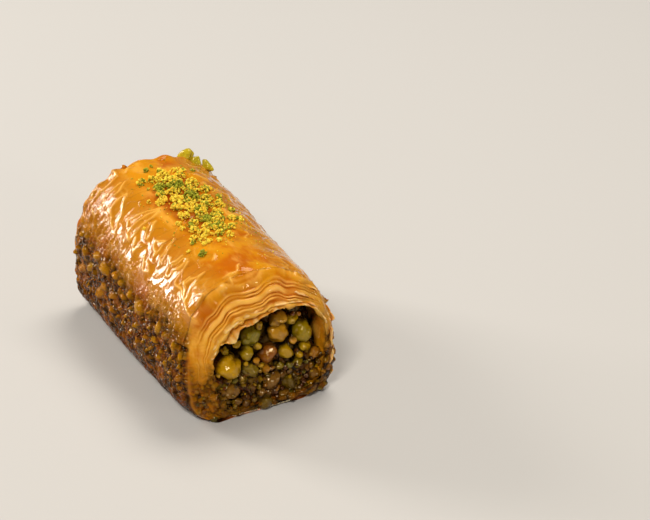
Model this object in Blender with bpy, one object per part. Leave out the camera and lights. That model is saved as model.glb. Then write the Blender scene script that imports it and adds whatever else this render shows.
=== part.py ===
"""Rolled baklava piece: a tube of buttered phyllo leaves round a core of chopped pistachios.

The roll lies along Y with its best cut end at -Y, and rests on its flattened underside at Z = 0.
The origin is the centre of the footprint. All sizes are in metres.
"""

import math

import bmesh
import bpy

# Driving sizes
LENGTH = 0.0500
WIDTH = 0.0305
HEIGHT = 0.0275
WIDER_AT_BACK = 0.06       # share of the width gained from the front end to the back end
TALLER_AT_BACK = 0.087     # share of the height gained from the front end to the back end
UNEVEN = 0.012             # slow swelling and narrowing along the roll, as a share
WIDTH_SWELL = (7.0, 1.0)   # its sine's radians for one roll's length, and where it starts
HEIGHT_SWELL = (9.0, -1.0)

# Section of the roll: an upper and a lower half ellipse, the lower one squared by its weight
AXIS_SHARE = 0.46          # height of the widest level, as a share of the height
TOP_POWER = 2.1
SKIN_BASE_POWER = 5.0
BORE_BASE_POWER = 3.2
SAG = 0.0004               # how far the underside is pressed flat

# Wall of phyllo leaves, from the full outline to the bore that holds the nuts
WALL_TOP = 0.0056
WALL_BOTTOM = 0.0015
WALL_LEFT = 0.0052
WALL_RIGHT = 0.0036
BORE_LEAN = 0.0016         # how much lower the bore's roof hangs at its left

# Front end, where the knife drew the outer leaves in towards the nuts
SHOULDER_REACH = 0.0070    # how far from the rim the drawing in starts
SHOULDER_TOP = 0.0019
SHOULDER_LEFT = 0.0024
SHOULDER_RIGHT = -0.0008   # this side was pushed outwards
LEAF_STEPS = 7
BEVEL_TOP = 0.0030         # how far the outer leaf ends behind the innermost one, on top
BEVEL_BOTTOM = 0.0009
RIM_WAVE = 0.00025
RIM_WAVES = 11
RIM_LAG = 5.0              # radians that the innermost leaf's waves lag behind the outer leaf's

# Relief, from waves given as turns round the roll and radians for each metre along it
CRINKLE = 0.00022          # winding folds of the skin
FOLD_WAVE = (5, 260.0)
SMALL_FOLD_WAVE = (3, -410.0)
SMALL_FOLD_SHARE = 0.6
FOLD_MEAN = 0.8            # mean of the two folds, taken off so that the skin keeps its size
LUMP = 0.00045             # nuts pressing through the lower flanks
LUMP_WAVE = (2, 900.0)
LUMP_CROSS_WAVE = (11, 230.0)

# Filling
FIT_GAP = 0.0003           # clearance between the filling and the bore
RECESS_TOP = 0.0022        # how far the nuts stay behind the lip
RECESS_BOTTOM = 0.0009
NUT_COUNT = 34             # nuts that show on one end face
NUT_RADIUS = 0.0021
RIM_FADE_POWER = 8         # how close to the bore the nuts' relief dies away

# Mesh fineness
TURN_STEPS = 64
SKIN_STATIONS = 25
BORE_STATIONS = 5
FILLING_GRID = 20
FILLING_STATIONS = 5

# Finish
PHYLLO_COLOUR = (0.72, 0.33, 0.055, 1.0)
PHYLLO_ROUGHNESS = 0.25
NUT_COLOUR = (0.22, 0.17, 0.03, 1.0)
NUT_ROUGHNESS = 0.4
SHARP_ANGLE = math.radians(40)

GOLDEN_ANGLE = math.pi * (3 - math.sqrt(5))


def mix(start, end, share):
    return start + (end - start) * share


def signed_power(value, power):
    return math.copysign(abs(value) ** power, value)


def swell(waves, along):
    """Growth of a size by slow swelling, at a share along the roll from -0.5 to 0.5."""
    turns, start = waves
    return UNEVEN * math.sin(turns * along + start)


def wave(waves, angle, y):
    turns, run = waves
    return math.sin(turns * angle + run * y)


def shoulder(angle, y):
    """How far the outline is drawn in at an angle: most at the front rim, nothing past its reach."""
    near = max(0.0, 1 - (LENGTH / 2 + y) / SHOULDER_REACH)
    sine, cosine = math.sin(angle), math.cos(angle)
    side = SHOULDER_RIGHT if cosine > 0 else SHOULDER_LEFT
    drawn = side * cosine ** 2 + SHOULDER_TOP * max(0.0, sine) ** 2
    return drawn * near ** 2


def section_point(angle, depth, y, extra=0.0):
    """A point of the section at an angle from +X, at depth 0 on the full outline and 1 on the bore.

    extra shrinks the outline further.
    """
    along = y / LENGTH
    half_width = WIDTH / 2 * (1 + WIDER_AT_BACK * along + swell(WIDTH_SWELL, along))
    height = HEIGHT * (1 + TALLER_AT_BACK * along + swell(HEIGHT_SWELL, along))
    axis_level = height * AXIS_SHARE
    underside = depth * WALL_BOTTOM + extra
    sine, cosine = math.sin(angle), math.cos(angle)
    wall_side = WALL_RIGHT if cosine > 0 else WALL_LEFT
    reach_x = half_width - depth * wall_side - extra
    if sine > 0:
        lean = BORE_LEAN * depth * (1 - cosine) / 2
        reach_z = height - axis_level - depth * WALL_TOP - extra - lean
        power = TOP_POWER
    else:
        reach_z = axis_level + SAG - underside
        power = mix(SKIN_BASE_POWER, BORE_BASE_POWER, depth)
    x = reach_x * signed_power(cosine, 2 / power)
    z = axis_level + reach_z * signed_power(sine, 2 / power)
    return x, max(z, underside)


def crinkle(angle, y):
    """Slanting winding folds on the upper part and rounded nut lumps on the lower flanks."""
    upper = max(0.0, math.sin(angle))
    flank = max(0.0, math.cos(angle) ** 2 - upper)
    folds = abs(wave(FOLD_WAVE, angle, y)) + SMALL_FOLD_SHARE * abs(wave(SMALL_FOLD_WAVE, angle, y))
    lumps = wave(LUMP_WAVE, angle, y) * wave(LUMP_CROSS_WAVE, angle, y)
    return CRINKLE * (folds - FOLD_MEAN) * math.sqrt(upper) + LUMP * lumps * flank


def wall_point(angle, depth, y):
    """A point of the wall: the section, drawn in at the shoulder and crinkled at its outer side."""
    x, z = section_point(angle, depth, y)
    underside = depth * WALL_BOTTOM
    if z <= underside:
        return x, y, z
    axis_level = HEIGHT * AXIS_SHARE
    reach = math.hypot(x, z - axis_level)
    grow = 1 + (1 - depth) * (crinkle(angle, y) - shoulder(angle, y)) / reach
    return x * grow, y, max(underside, axis_level + (z - axis_level) * grow)


def leaf_edge(angle, depth, end):
    """Y of a leaf's edge: deeper leaves reach further out, and every edge is slightly wavy."""
    bevel = mix(BEVEL_BOTTOM, BEVEL_TOP, (1 + math.sin(angle)) / 2)
    ripple = RIM_WAVE * math.sin(RIM_WAVES * angle + RIM_LAG * depth)
    return end * (LENGTH / 2 - (bevel - ripple) * (1 - depth))


def skin_ring(share):
    """One ring of the skin, at a share of the way from the front rim to the back rim."""

    def point(angle):
        y = mix(leaf_edge(angle, 0.0, -1), leaf_edge(angle, 0.0, 1), share)
        return wall_point(angle, 0.0, y)

    return point


def step_ring(depth, edge_depth, end):
    """One ring of a stepped end: the leaf at a depth, at the Y of the leaf edge of edge_depth."""

    def point(angle):
        return wall_point(angle, depth, leaf_edge(angle, edge_depth, end))

    return point


def bore_ring(share):
    def point(angle):
        return wall_point(angle, 1.0, mix(-LENGTH / 2, LENGTH / 2, share))

    return point


def add_ring(mesh, point, steps):
    return [mesh.verts.new(point(2 * math.pi * i / steps)) for i in range(steps)]


def join_rings(mesh, first, second):
    for i in range(len(first)):
        j = (i + 1) % len(first)
        mesh.faces.new((first[i], first[j], second[j], second[i]))


def add_object(name, mesh, colour, roughness):
    """Turns a bmesh into a closed, outward-facing object with its own material."""
    bmesh.ops.recalc_face_normals(mesh, faces=mesh.faces)
    bmesh.ops.triangulate(mesh, faces=mesh.faces)
    data = bpy.data.meshes.new(name)
    mesh.to_mesh(data)
    mesh.free()
    data.shade_smooth()
    data.set_sharp_from_angle(angle=SHARP_ANGLE)
    made = bpy.data.objects.new(name, data)
    bpy.context.scene.collection.objects.link(made)
    material = bpy.data.materials.new(name)
    material.use_nodes = True
    shader = material.node_tree.nodes["Principled BSDF"]
    shader.inputs["Base Color"].default_value = colour
    shader.inputs["Roughness"].default_value = roughness
    shader.inputs["Metallic"].default_value = 0.0
    material.diffuse_color = colour
    data.materials.append(material)
    return made


def make_wrap():
    """The phyllo tube: skin, stepped leaf ends and bore, as one closed band of rings."""
    steps = [(step / LEAF_STEPS, (step + 1) / LEAF_STEPS) for step in range(LEAF_STEPS)]
    points = [skin_ring(i / (SKIN_STATIONS - 1)) for i in range(SKIN_STATIONS)]
    for outer, inner in steps:
        points += [step_ring(inner, outer, 1), step_ring(inner, inner, 1)]
    points += [bore_ring(1 - i / (BORE_STATIONS - 1)) for i in range(1, BORE_STATIONS - 1)]
    for outer, inner in reversed(steps):
        points += [step_ring(inner, inner, -1), step_ring(inner, outer, -1)]
    mesh = bmesh.new()
    rings = [add_ring(mesh, point, TURN_STEPS) for point in points]
    for first, second in zip(rings, rings[1:] + rings[:1]):
        join_rings(mesh, first, second)
    return add_object("phyllo_wrap", mesh, PHYLLO_COLOUR, PHYLLO_ROUGHNESS)


def nut_places():
    """Middles of the nuts on an end face, evenly spread on a sunflower spiral, in shares."""
    spread = [math.sqrt((i + 0.5) / NUT_COUNT) for i in range(NUT_COUNT)]
    return [(r * math.cos(i * GOLDEN_ANGLE), r * math.sin(i * GOLDEN_ANGLE)) for i, r in enumerate(spread)]


NUT_PLACES = nut_places()


def nut_relief(x, z, end):
    """Height of the rounded nuts above the hollows between them, at a point of an end face."""
    half_width = (WIDTH - WALL_LEFT - WALL_RIGHT) / 2
    half_height = (HEIGHT - WALL_TOP - WALL_BOTTOM) / 2
    middle = WALL_BOTTOM + half_height
    highest = 0.0
    for across, up in NUT_PLACES:
        away = math.hypot(x - end * across * half_width, z - middle - up * half_height)
        if away < NUT_RADIUS:
            highest = max(highest, math.sqrt(NUT_RADIUS ** 2 - away ** 2) - NUT_RADIUS / 2)
    return highest


def filling_point(across, up, share, end):
    """A point of the filling, from a square grid of across and up in -1..1 drawn out to the bore.

    Each square round the middle becomes one outline of the bore at the same share of its size.
    """
    size = max(abs(across), abs(up))
    angle = math.atan2(up, across)
    recess = mix(RECESS_BOTTOM, RECESS_TOP, (1 + up) / 2)
    y = mix(-1, 1, share) * (LENGTH / 2 - recess - NUT_RADIUS / 2)
    rim_x, rim_z = section_point(angle, 1.0, y, FIT_GAP)
    middle = HEIGHT * AXIS_SHARE
    x, z = rim_x * size, middle + (rim_z - middle) * size
    return x, y + end * nut_relief(x, z, end) * (1 - size ** RIM_FADE_POWER), z


def square_path(steps):
    """Grid places round the edge of a square of steps by steps cells, once anticlockwise."""
    side = range(steps)
    return (
        [(steps, i) for i in side]
        + [(steps - i, steps) for i in side]
        + [(0, steps - i) for i in side]
        + [(i, 0) for i in side]
    )


def make_filling():
    """The pistachio core: a bar that fills the bore, with rounded nuts on its end faces."""
    mesh = bmesh.new()
    cells = FILLING_GRID

    def vertex(i, j, share, end):
        return mesh.verts.new(filling_point(2 * i / cells - 1, 2 * j / cells - 1, share, end))

    def end_face(share, end):
        grid = {(i, j): vertex(i, j, share, end) for i in range(cells + 1) for j in range(cells + 1)}
        for i in range(cells):
            for j in range(cells):
                mesh.faces.new((grid[i, j], grid[i + 1, j], grid[i + 1, j + 1], grid[i, j + 1]))
        return grid

    path = square_path(cells)
    front, back = end_face(0.0, -1), end_face(1.0, 1)
    rings = [[front[place] for place in path]]
    for station in range(1, FILLING_STATIONS):
        rings.append([vertex(i, j, station / FILLING_STATIONS, 0) for i, j in path])
    rings.append([back[place] for place in path])
    for first, second in zip(rings, rings[1:]):
        join_rings(mesh, first, second)
    return add_object("pistachio_filling", mesh, NUT_COLOUR, NUT_ROUGHNESS)


def stand_on_origin(objects):
    """Moves the meshes so that the middle of the footprint is the origin."""
    corners = [v.co for o in objects for v in o.data.vertices]
    shift = [-(min(c[k] for c in corners) + max(c[k] for c in corners)) / 2 for k in (0, 1)]
    shift.append(-min(c[2] for c in corners))
    for o in objects:
        for v in o.data.vertices:
            v.co.x += shift[0]
            v.co.y += shift[1]
            v.co.z += shift[2]


for old in list(bpy.data.objects):
    bpy.data.objects.remove(old)
stand_on_origin([make_wrap(), make_filling()])
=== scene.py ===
"""Looks of a rolled baklava piece: glazed phyllo leaves wound round chopped pistachios in syrup.

Every size is in metres. The roll lies along Y with its best cut end at -Y. A place on its skin is
given as (girth, y): girth runs round the roll from 0 on the crown, and grows to the left.
"""

import functools
import math

import bpy
import numpy as np
from bpy.props import FloatProperty, FloatVectorProperty, IntProperty, PointerProperty
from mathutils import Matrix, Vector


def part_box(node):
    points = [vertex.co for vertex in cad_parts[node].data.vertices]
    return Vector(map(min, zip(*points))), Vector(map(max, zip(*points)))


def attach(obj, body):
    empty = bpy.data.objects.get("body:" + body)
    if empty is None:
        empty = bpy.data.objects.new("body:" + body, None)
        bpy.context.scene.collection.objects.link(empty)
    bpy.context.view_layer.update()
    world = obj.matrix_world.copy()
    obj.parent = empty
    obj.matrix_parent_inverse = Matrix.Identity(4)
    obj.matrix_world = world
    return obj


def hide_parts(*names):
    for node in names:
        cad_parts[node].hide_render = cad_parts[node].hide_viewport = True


bl_info = {
    "name": "Rolled Baklava Piece",
    "version": (1, 0, 0),
    "blender": (4, 5, 0),
    "location": "3D View > Sidebar > Baklava",
    "description": "Builds a glazed phyllo roll with pistachios and crumbs, piece by piece",
    "category": "Add Mesh",
}

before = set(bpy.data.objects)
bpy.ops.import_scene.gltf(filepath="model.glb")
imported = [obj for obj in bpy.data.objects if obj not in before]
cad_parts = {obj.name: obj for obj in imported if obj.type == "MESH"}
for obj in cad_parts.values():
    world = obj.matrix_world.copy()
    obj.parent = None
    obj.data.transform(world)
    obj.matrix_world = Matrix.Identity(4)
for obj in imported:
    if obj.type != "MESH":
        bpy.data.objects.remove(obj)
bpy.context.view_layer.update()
WRAP_LOW, WRAP_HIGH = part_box("phyllo_wrap")

MM = 0.001
TURN = 2 * math.pi

# Outline of the roll, as its solids have it
LENGTH = WRAP_HIGH.y - WRAP_LOW.y
WIDTH = 30.5 * MM
HEIGHT = 27.5 * MM
WIDER_AT_BACK = 0.06       # growth over the roll's length, as a share
TALLER_AT_BACK = 0.087
UNEVEN = 0.012             # slow waves along the roll, as a share of its width and height
WIDTH_SWELL = (7.0, 1.0)   # of each wave: radians over the roll's length, and start
HEIGHT_SWELL = (9.0, -1.0)
AXIS_SHARE = 0.46          # level of the axis, as a share of the height
TOP_POWER = 2.1            # 2 is an ellipse, and more is squarer
SKIN_BASE_POWER = 5.0
BORE_BASE_POWER = 3.2
SAG = 0.4 * MM             # how much of the underside is cut off flat
WALL_TOP = 5.6 * MM
WALL_BOTTOM = 1.5 * MM
WALL_LEFT = 5.2 * MM
WALL_RIGHT = 3.6 * MM
BORE_LEAN = 1.6 * MM       # how much lower the bore's top is on the left
AXIS_LEVEL = HEIGHT * AXIS_SHARE
SHOULDER_REACH = 7.0 * MM  # how far from the front rim the skin starts to draw in
SHOULDER_TOP = 1.9 * MM
SHOULDER_LEFT = 2.4 * MM
SHOULDER_RIGHT = -0.8 * MM
# How far the outer leaf stays behind the inner one at an end: below, and on top
FRONT_BEVEL = (0.9 * MM, 3.0 * MM)
BACK_BEVEL = (0.5 * MM, 1.0 * MM)


def srgb(red, green, blue):
    """Linear colour of a display colour given as 0 to 255."""
    shares = [value / 255 for value in (red, green, blue)]
    return tuple(v / 12.92 if v <= 0.04045 else ((v + 0.055) / 1.055) ** 2.4 for v in shares)


# ---------------------------------------------------------------------------------------------
# Settings that a user would change


def size(name, description, default):
    return FloatProperty(name=name, description=description, default=default, unit="LENGTH", precision=5)


def number(name, description, default, least=0):
    return IntProperty(name=name, description=description, default=default, min=least)


def watts(name, description, default):
    return FloatProperty(name=name, description=description, default=default, unit="POWER")


def colour(name, description, default):
    return FloatVectorProperty(name=name, description=description, default=default, subtype="COLOR",
                               size=3, min=0.0, max=1.0)


class PhylloSettings(bpy.types.PropertyGroup):
    """The wound leaves: their folds, edges and baked colours."""

    fold_height: size("Fold height", "Height of the creased folds on the flanks", 0.30 * MM)
    pleat_height: size("Pleat height", "Height of the thin crest on each fold", 0.09 * MM)
    swell_height: size("Swell height", "Slow unevenness of the whole skin", 0.22 * MM)
    nut_bump: size("Nut bump", "How far nuts press out through the lower flanks", 0.75 * MM)
    leaf_count: number("Leaves", "Rounded leaf edges that show at an end", 7, 3)
    leaf_bulge: size("Leaf bulge", "How far each rounded leaf edge stands out", 0.5 * MM)
    lip_thickness: size("Lip thickness", "Thickness of the thin loose leaves", 0.26 * MM)
    gold: colour("Gold", "Baked and buttered leaf", srgb(214, 140, 17))
    amber: colour("Amber", "Browner patches of the leaf", srgb(190, 98, 3))
    # Pale also lightens the crests of folds and leaf edges: partly thin leaf, partly painted highlight
    pale: colour("Pale", "Thin leaf over air, and leaf edges", srgb(255, 194, 88))
    soaked: colour("Soaked", "Leaf soaked through with syrup near the base", srgb(38, 15, 1))


class PistachioSettings(bpy.types.PropertyGroup):
    """The chopped nuts of the filling."""

    small_nuts: number("Small nuts", "Small pieces between the large ones", 90)
    grains: number("Grains", "Crushed grains on each cut end", 380)
    yellow: colour("Yellow", "Yellow nut flesh", srgb(200, 146, 5))
    green: colour("Green", "Green nut flesh", srgb(112, 104, 2))
    tan: colour("Tan", "Toasted nut", srgb(190, 126, 20))
    brown: colour("Brown", "Nut soaked in dark syrup", srgb(110, 46, 6))


class CrumbSettings(bpy.types.PropertyGroup):
    """The ground nuts scattered on the crown."""

    clumps: number("Clumps", "Clumps of crumbs on the crown", 120)
    granule: size("Granule", "Middle radius of one granule", 0.18 * MM)
    yellow: colour("Yellow", "Light crumbs", srgb(252, 230, 74))
    green: colour("Green", "Dark crumbs, from the skin of the nut", srgb(172, 174, 38))


class SyrupSettings(bpy.types.PropertyGroup):
    """The syrup that fills the nuts and runs out at the base."""

    foot_reach: size("Foot reach", "How far the syrup spreads from the base", 0.35 * MM)
    foot_height: size("Foot height", "How far the syrup climbs up the skin", 0.35 * MM)
    beads: number("Beads", "Tiny drops on the lower flanks", 1400)
    amber: colour("Amber", "Thin syrup", srgb(146, 70, 8))
    dark: colour("Dark", "Deep syrup between the nuts", srgb(22, 8, 1))


class StageSettings(bpy.types.PropertyGroup):
    """Floor, lamps and camera."""

    floor: colour("Floor", "Pale floor", srgb(200, 198, 196))
    key_power: watts("Key power", "Low soft box behind on the left", 1.95)
    top_power: watts("Top power", "Soft box overhead", 2.45)
    fill_power: watts("Fill power", "Large weak lamp in front", 0.2)
    glint_power: watts("Glint power", "Small lamp high in front, for sparkle", 3.6)
    sparkle_power: watts("Sparkle power", "Two small low lamps, behind and in front", 0.6)
    sky: FloatProperty(name="Sky", description="Strength of the even light all round", default=0.12)


# ---------------------------------------------------------------------------------------------
# Shapes


def mix(start, end, amount):
    """Start at an amount of 0, end at 1, and in proportion between."""
    return start + (end - start) * amount


def step(low, high, value):
    """0 below low and 1 above high, with a smooth cubic between; low may be the larger one."""
    amount = np.clip((value - low) / (high - low), 0.0, 1.0)
    return amount * amount * (3 - 2 * amount)


def signed_power(value, power):
    """A power of the size of a value, with the value's sign."""
    return np.sign(value) * np.abs(value) ** power


def unit(vectors):
    """Vectors divided by their lengths."""
    return vectors / np.maximum(np.linalg.norm(vectors, axis=-1, keepdims=True), 1e-12)


def swell(wave, along):
    """A slow sine wave along the roll."""
    rate, start = wave
    return UNEVEN * np.sin(rate * along + start)


def section(angle, depth, y):
    """X and Z of the roll's section at an angle from +X, for depth 0 on the skin and 1 on the bore.

    Both are upper and lower half super-ellipses, x = a |cos|^(2/n) and z = c + b |sin|^(2/n), with
    the lower one squarer and cut off flat at the underside. Sizes grow a little to the back.
    """
    along = y / LENGTH
    half_width = WIDTH / 2 * (1 + WIDER_AT_BACK * along + swell(WIDTH_SWELL, along))
    height = HEIGHT * (1 + TALLER_AT_BACK * along + swell(HEIGHT_SWELL, along))
    axis_level = height * AXIS_SHARE
    underside = depth * WALL_BOTTOM
    sine, cosine = np.sin(angle), np.cos(angle)
    reach_x = half_width - depth * np.where(cosine > 0, WALL_RIGHT, WALL_LEFT)
    lean = BORE_LEAN * depth * (1 - cosine) / 2
    above = height - axis_level - depth * WALL_TOP - lean
    below = axis_level + SAG - underside
    power = np.where(sine > 0, TOP_POWER, mix(SKIN_BASE_POWER, BORE_BASE_POWER, depth))
    x = reach_x * signed_power(cosine, 2 / power)
    z = axis_level + np.where(sine > 0, above, below) * signed_power(sine, 2 / power)
    return x, np.maximum(z, underside)


def wall(angle, depth, y):
    """A point of the wall: the section, drawn in towards the axis close to the front rim.

    The draw grows with the square of the nearness to the rim. It is one amount at the sides and
    another on top, mixed by the squares of cosine and sine, and fades to none at the bore.
    """
    x, z = section(angle, depth, y)
    near = np.clip(1 - (LENGTH / 2 + y) / SHOULDER_REACH, 0.0, 2.0)
    sine, cosine = np.sin(angle), np.cos(angle)
    side = np.where(cosine > 0, SHOULDER_RIGHT, SHOULDER_LEFT)
    drawn = (side * cosine ** 2 + SHOULDER_TOP * np.maximum(sine, 0) ** 2) * near ** 2
    grow = 1 - (1 - depth) * drawn / np.hypot(x, z - AXIS_LEVEL)
    low = depth * WALL_BOTTOM
    z = np.where(z <= low, z, np.maximum(low, AXIS_LEVEL + (z - AXIS_LEVEL) * grow))
    return np.stack([x * grow, y + 0 * x, z], -1)


def girth_table():
    """Angles once round from the middle of the base, and the girth run at each, from the crown."""
    angle = np.linspace(-math.pi / 2, 1.5 * math.pi, 4001)
    ring = wall(angle, 0.0, np.zeros_like(angle))
    run = np.concatenate([[0.0], np.cumsum(np.linalg.norm(np.diff(ring, axis=0), axis=1))])
    return angle, run - np.interp(math.pi / 2, angle, run)


TABLE_ANGLE, TABLE_GIRTH = girth_table()


def angle_at(girth):
    """Angle of a place on the skin, read from the table at the roll's middle."""
    return np.interp(girth, TABLE_GIRTH, TABLE_ANGLE)


def bare_skin(girth, y):
    """Points of the skin before any relief, and their outward normals from nearby differences."""
    near = 0.05 * MM
    point = wall(angle_at(girth), 0.0, y)
    around = wall(angle_at(girth + near), 0.0, y) - wall(angle_at(girth - near), 0.0, y)
    along = wall(angle_at(girth), 0.0, y + near) - wall(angle_at(girth), 0.0, y - near)
    return point, unit(np.cross(along, around))


def rim_y(angle, depth, end):
    """Y of a leaf's edge at an end: deeper leaves reach further out, on top more than below."""
    low, top = FRONT_BEVEL if end < 0 else BACK_BEVEL
    bevel = mix(low, top, (1 + np.sin(angle)) / 2)
    return end * (LENGTH / 2 - bevel * (1 - depth))


def ripples(seed, wavelength, u, v, stretch=1.0):
    """Smooth noise of about -1 to 1: a sum of cosine waves in seeded directions, longer along u."""
    rng = np.random.default_rng(seed)
    count = 14
    total = np.zeros(np.broadcast(u, v).shape)
    for _ in range(count):
        turn, start, longer = rng.uniform(0, TURN), rng.uniform(0, TURN), rng.uniform(0.7, 1.5)
        run = u * math.cos(turn) / stretch + v * math.sin(turn)
        total += np.cos(TURN * run / (wavelength * longer) + start)
    return total * 0.6 * math.sqrt(2 / count)


FOLD_WIDTH = 0.9 * MM      # of a fold, from its line to 1/e of its height
CREST_WIDTH = 0.2 * MM     # of the thin crest on it

# Creases of the left flank and front crown, listed: corners as girth and y in mm
MAIN_CREASES = (
    ((7.0, 23.6), (10.5, 24.2), (14.0, 22.8), (12.0, 21.2), (7.5, 20.8), (7.0, 23.6)),
    ((4.4, 22.4), (5.6, 21.0)),
    ((7.8, 18.6), (11.0, 18.9), (15.0, 17.4)),
    ((6.9, 18.2), (8.3, 17.0), (9.8, 16.6)),
    ((14.0, 21.2), (15.3, 18.6)),
    ((8.0, 14.8), (11.8, 15.1), (13.6, 13.0), (15.0, 10.6), (14.2, 10.0), (11.0, 12.3), (8.0, 14.6)),
    ((5.2, 5.8), (8.0, 7.8), (11.0, 9.3), (11.8, 8.0)),
    ((5.4, 5.5), (8.0, 6.3), (12.4, 6.6), (12.8, 4.6), (8.5, 5.1), (5.6, 5.2)),
    ((7.2, 3.3), (9.5, 3.5), (10.5, 1.8), (9.9, 1.3), (7.2, 3.2)),
    ((11.8, 4.0), (14.0, 1.8), (12.0, 1.6)),
    ((9.5, -0.7), (11.5, -3.5), (8.4, -2.5), (9.5, -0.7)),
    ((13.0, -1.0), (14.8, -3.0), (14.2, -4.6), (13.2, -3.2)),
    ((7.0, -3.4), (11.0, -5.0), (11.6, -6.3), (8.2, -4.4)),
    ((9.4, -7.0), (12.3, -9.5), (12.5, -10.5), (9.5, -11.0), (7.7, -10.5), (8.0, -9.5), (10.5, -9.0)),
    ((7.8, -8.7), (10.2, -8.3)),
    ((8.0, -11.0), (12.0, -13.0), (12.2, -14.5), (10.0, -15.0)),
    ((7.4, -16.2), (11.4, -15.2), (13.3, -18.0), (10.0, -17.2), (7.4, -16.2)),
    ((12.2, -14.6), (13.4, -18.2), (14.6, -21.4)),
    ((11.0, -19.4), (9.9, -21.3), (11.6, -21.0)),
    ((6.2, -21.4), (9.0, -22.5), (13.6, -23.2)),
    ((-9.6, -21.5), (-4.4, -21.8), (-5.8, -23.8), (-6.6, -25.0)),
    ((4.5, -21.4), (5.3, -23.0)),
    ((3.4, -13.2), (4.4, -14.6)),
    ((1.4, -19.0), (3.0, -20.6), (5.4, -20.2)),
)


@functools.cache
def crease_lines(seed, count):
    """Straight pieces of creases: girth and y of both ends, and a strength, in rows.

    The listed ones come first. Seeded zigzags follow, two in three of them on the right flank,
    where hardly any are listed. Their lines turn sharply left or right at each corner.
    """
    rng = np.random.default_rng(seed)
    rows = []
    for corners in MAIN_CREASES:
        for (g, y), (next_g, next_y) in zip(corners, corners[1:]):
            rows.append((g * MM, y * MM, next_g * MM, next_y * MM, 1.0))
    for _ in range(count):
        side = rng.choice((-1, -1, 1))
        girth, y = rng.uniform(4.5, 16.5) * MM, rng.uniform(-24, 24) * MM
        strength = rng.uniform(0.1, 0.4) if side > 0 else rng.uniform(0.3, 0.9)
        turn = rng.normal(-35, 25)
        for _ in range(rng.integers(1, 5)):
            length = rng.uniform(0.8, 3.4) * MM
            next_girth = girth + length * math.cos(math.radians(turn))
            next_y = y + length * math.sin(math.radians(turn))
            rows.append((side * girth, y, side * next_girth, next_y, strength))
            girth, y = next_girth, next_y
            turn += rng.choice((-1, 1)) * rng.uniform(40, 150)
    return np.array(rows)


def crease_height(lines, girth, y, seed):
    """Tents with a sharp crest over straight lines, and a mask of the crests.

    With d the distance to a line, a tent is exp(-d / fold width) and a crest is
    exp(-(d / crest width)^2). The highest of all counts, and the places are shifted a little by noise.
    """
    girth = girth + 0.25 * MM * ripples(seed, 3.0 * MM, girth, y)
    y = y + 0.25 * MM * ripples(seed + 1, 3.0 * MM, girth, y)
    best = np.zeros(girth.shape)
    crest = np.zeros(girth.shape)
    for start_g, start_y, stop_g, stop_y, strength in lines:
        run_g, run_y = stop_g - start_g, stop_y - start_y
        share = ((girth - start_g) * run_g + (y - start_y) * run_y) / (run_g ** 2 + run_y ** 2)
        share = np.clip(share, 0, 1)
        away = np.hypot(girth - start_g - share * run_g, y - start_y - share * run_y)
        tent = strength * np.exp(-away / FOLD_WIDTH)
        best = np.maximum(best, tent)
        crest = np.maximum(crest, strength * np.exp(-(away / CREST_WIDTH) ** 2))
    return best, crest


# Nuts that press through the left flank: girth, y, turn, half length and half width in mm, and tone
MAIN_BUMPS = (
    (20.8, 8.7, 90, 1.9, 1.4, 0.02),
    (20.4, 12.6, 60, 1.6, 1.0, 0.12),
    (20.0, 4.6, 80, 1.2, 0.9, 0.6),
    (20.3, 2.2, 0, 0.9, 0.8, 0.05),
    (20.4, -1.8, 0, 1.0, 0.9, 0.05),
    (21.0, -5.7, 5, 1.8, 1.7, 0.04),
    (21.2, -13.3, 10, 1.7, 1.2, 0.03),
    (24.4, -12.0, 0, 0.9, 0.9, 0.02),
    (21.4, -16.2, 60, 1.2, 0.9, 0.5),
    (21.6, -19.8, 0, 1.3, 0.8, 0.02),
    (24.6, -18.6, 0, 0.9, 0.7, 0.1),
    (22.6, -21.6, 0, 1.1, 0.7, 0.0),
    (24.8, -5.2, 40, 1.1, 0.7, 0.05),
    (22.6, 1.4, 70, 1.3, 0.8, 0.6),
    (27.0, 11.2, 50, 2.6, 1.2, 0.6),
    (24.4, 8.8, 60, 1.6, 1.0, 0.65),
    (23.8, 15.4, 60, 1.7, 0.9, 0.15),
    (22.2, 18.6, -10, 1.3, 0.9, 0.5),
    (26.3, 20.0, 60, 1.8, 1.0, 0.7),
    (24.3, 5.2, 60, 1.3, 0.8, 0.7),
)


@functools.cache
def bump_cells(seed, low, high, half_length, spread, keep, tones, by_hand):
    """Places of nuts under the skin for a band of girths on both sides: listed, then seeded.

    Each row is girth, y, turn, half length, half width and tone.
    """
    rng = np.random.default_rng(seed)
    rows = [(g * MM, y * MM, math.radians(t), a * MM, b * MM, tone) for g, y, t, a, b, tone in by_hand]
    for _ in range(5000):
        girth = rng.uniform(low, high) * rng.choice((-1, 1))
        y = rng.uniform(-25, 25) * MM
        long_side = half_length * rng.lognormal(-0.05, spread)
        short_side = long_side * rng.uniform(0.55, 0.95)
        if not rows or clearance(rows, girth, y, long_side).min() > keep:
            lean = math.radians(rng.normal(0, 40))
            rows.append((girth, y, lean, long_side, short_side, rng.choice(tones)))
    return np.array(rows)


def clearance(rows, u_place, v_place, half_length):
    """Distance to each row's middle, as a share of the two half lengths together."""
    known = np.array(rows)
    return np.hypot(u_place - known[:, 0], v_place - known[:, 1]) / (known[:, 3] + half_length)


def bumps(cells, u_place, v_place):
    """Highest of many ellipsoid caps sqrt(1 - q) at each place, and the tone of that cap."""
    best = np.zeros(np.broadcast(u_place, v_place).shape)
    tone = np.full(best.shape, 0.5)
    for middle, middle_v, turn, half_length, half_width, own_tone in cells:
        du, dv = u_place - middle, v_place - middle_v
        u = (du * math.cos(turn) + dv * math.sin(turn)) / half_length
        v = (dv * math.cos(turn) - du * math.sin(turn)) / half_width
        cap = np.sqrt(np.maximum(1 - u * u - v * v, 0.0))
        better = cap > best
        best = np.where(better, cap, best)
        tone = np.where(better, own_tone, tone)
    return best, tone


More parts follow.
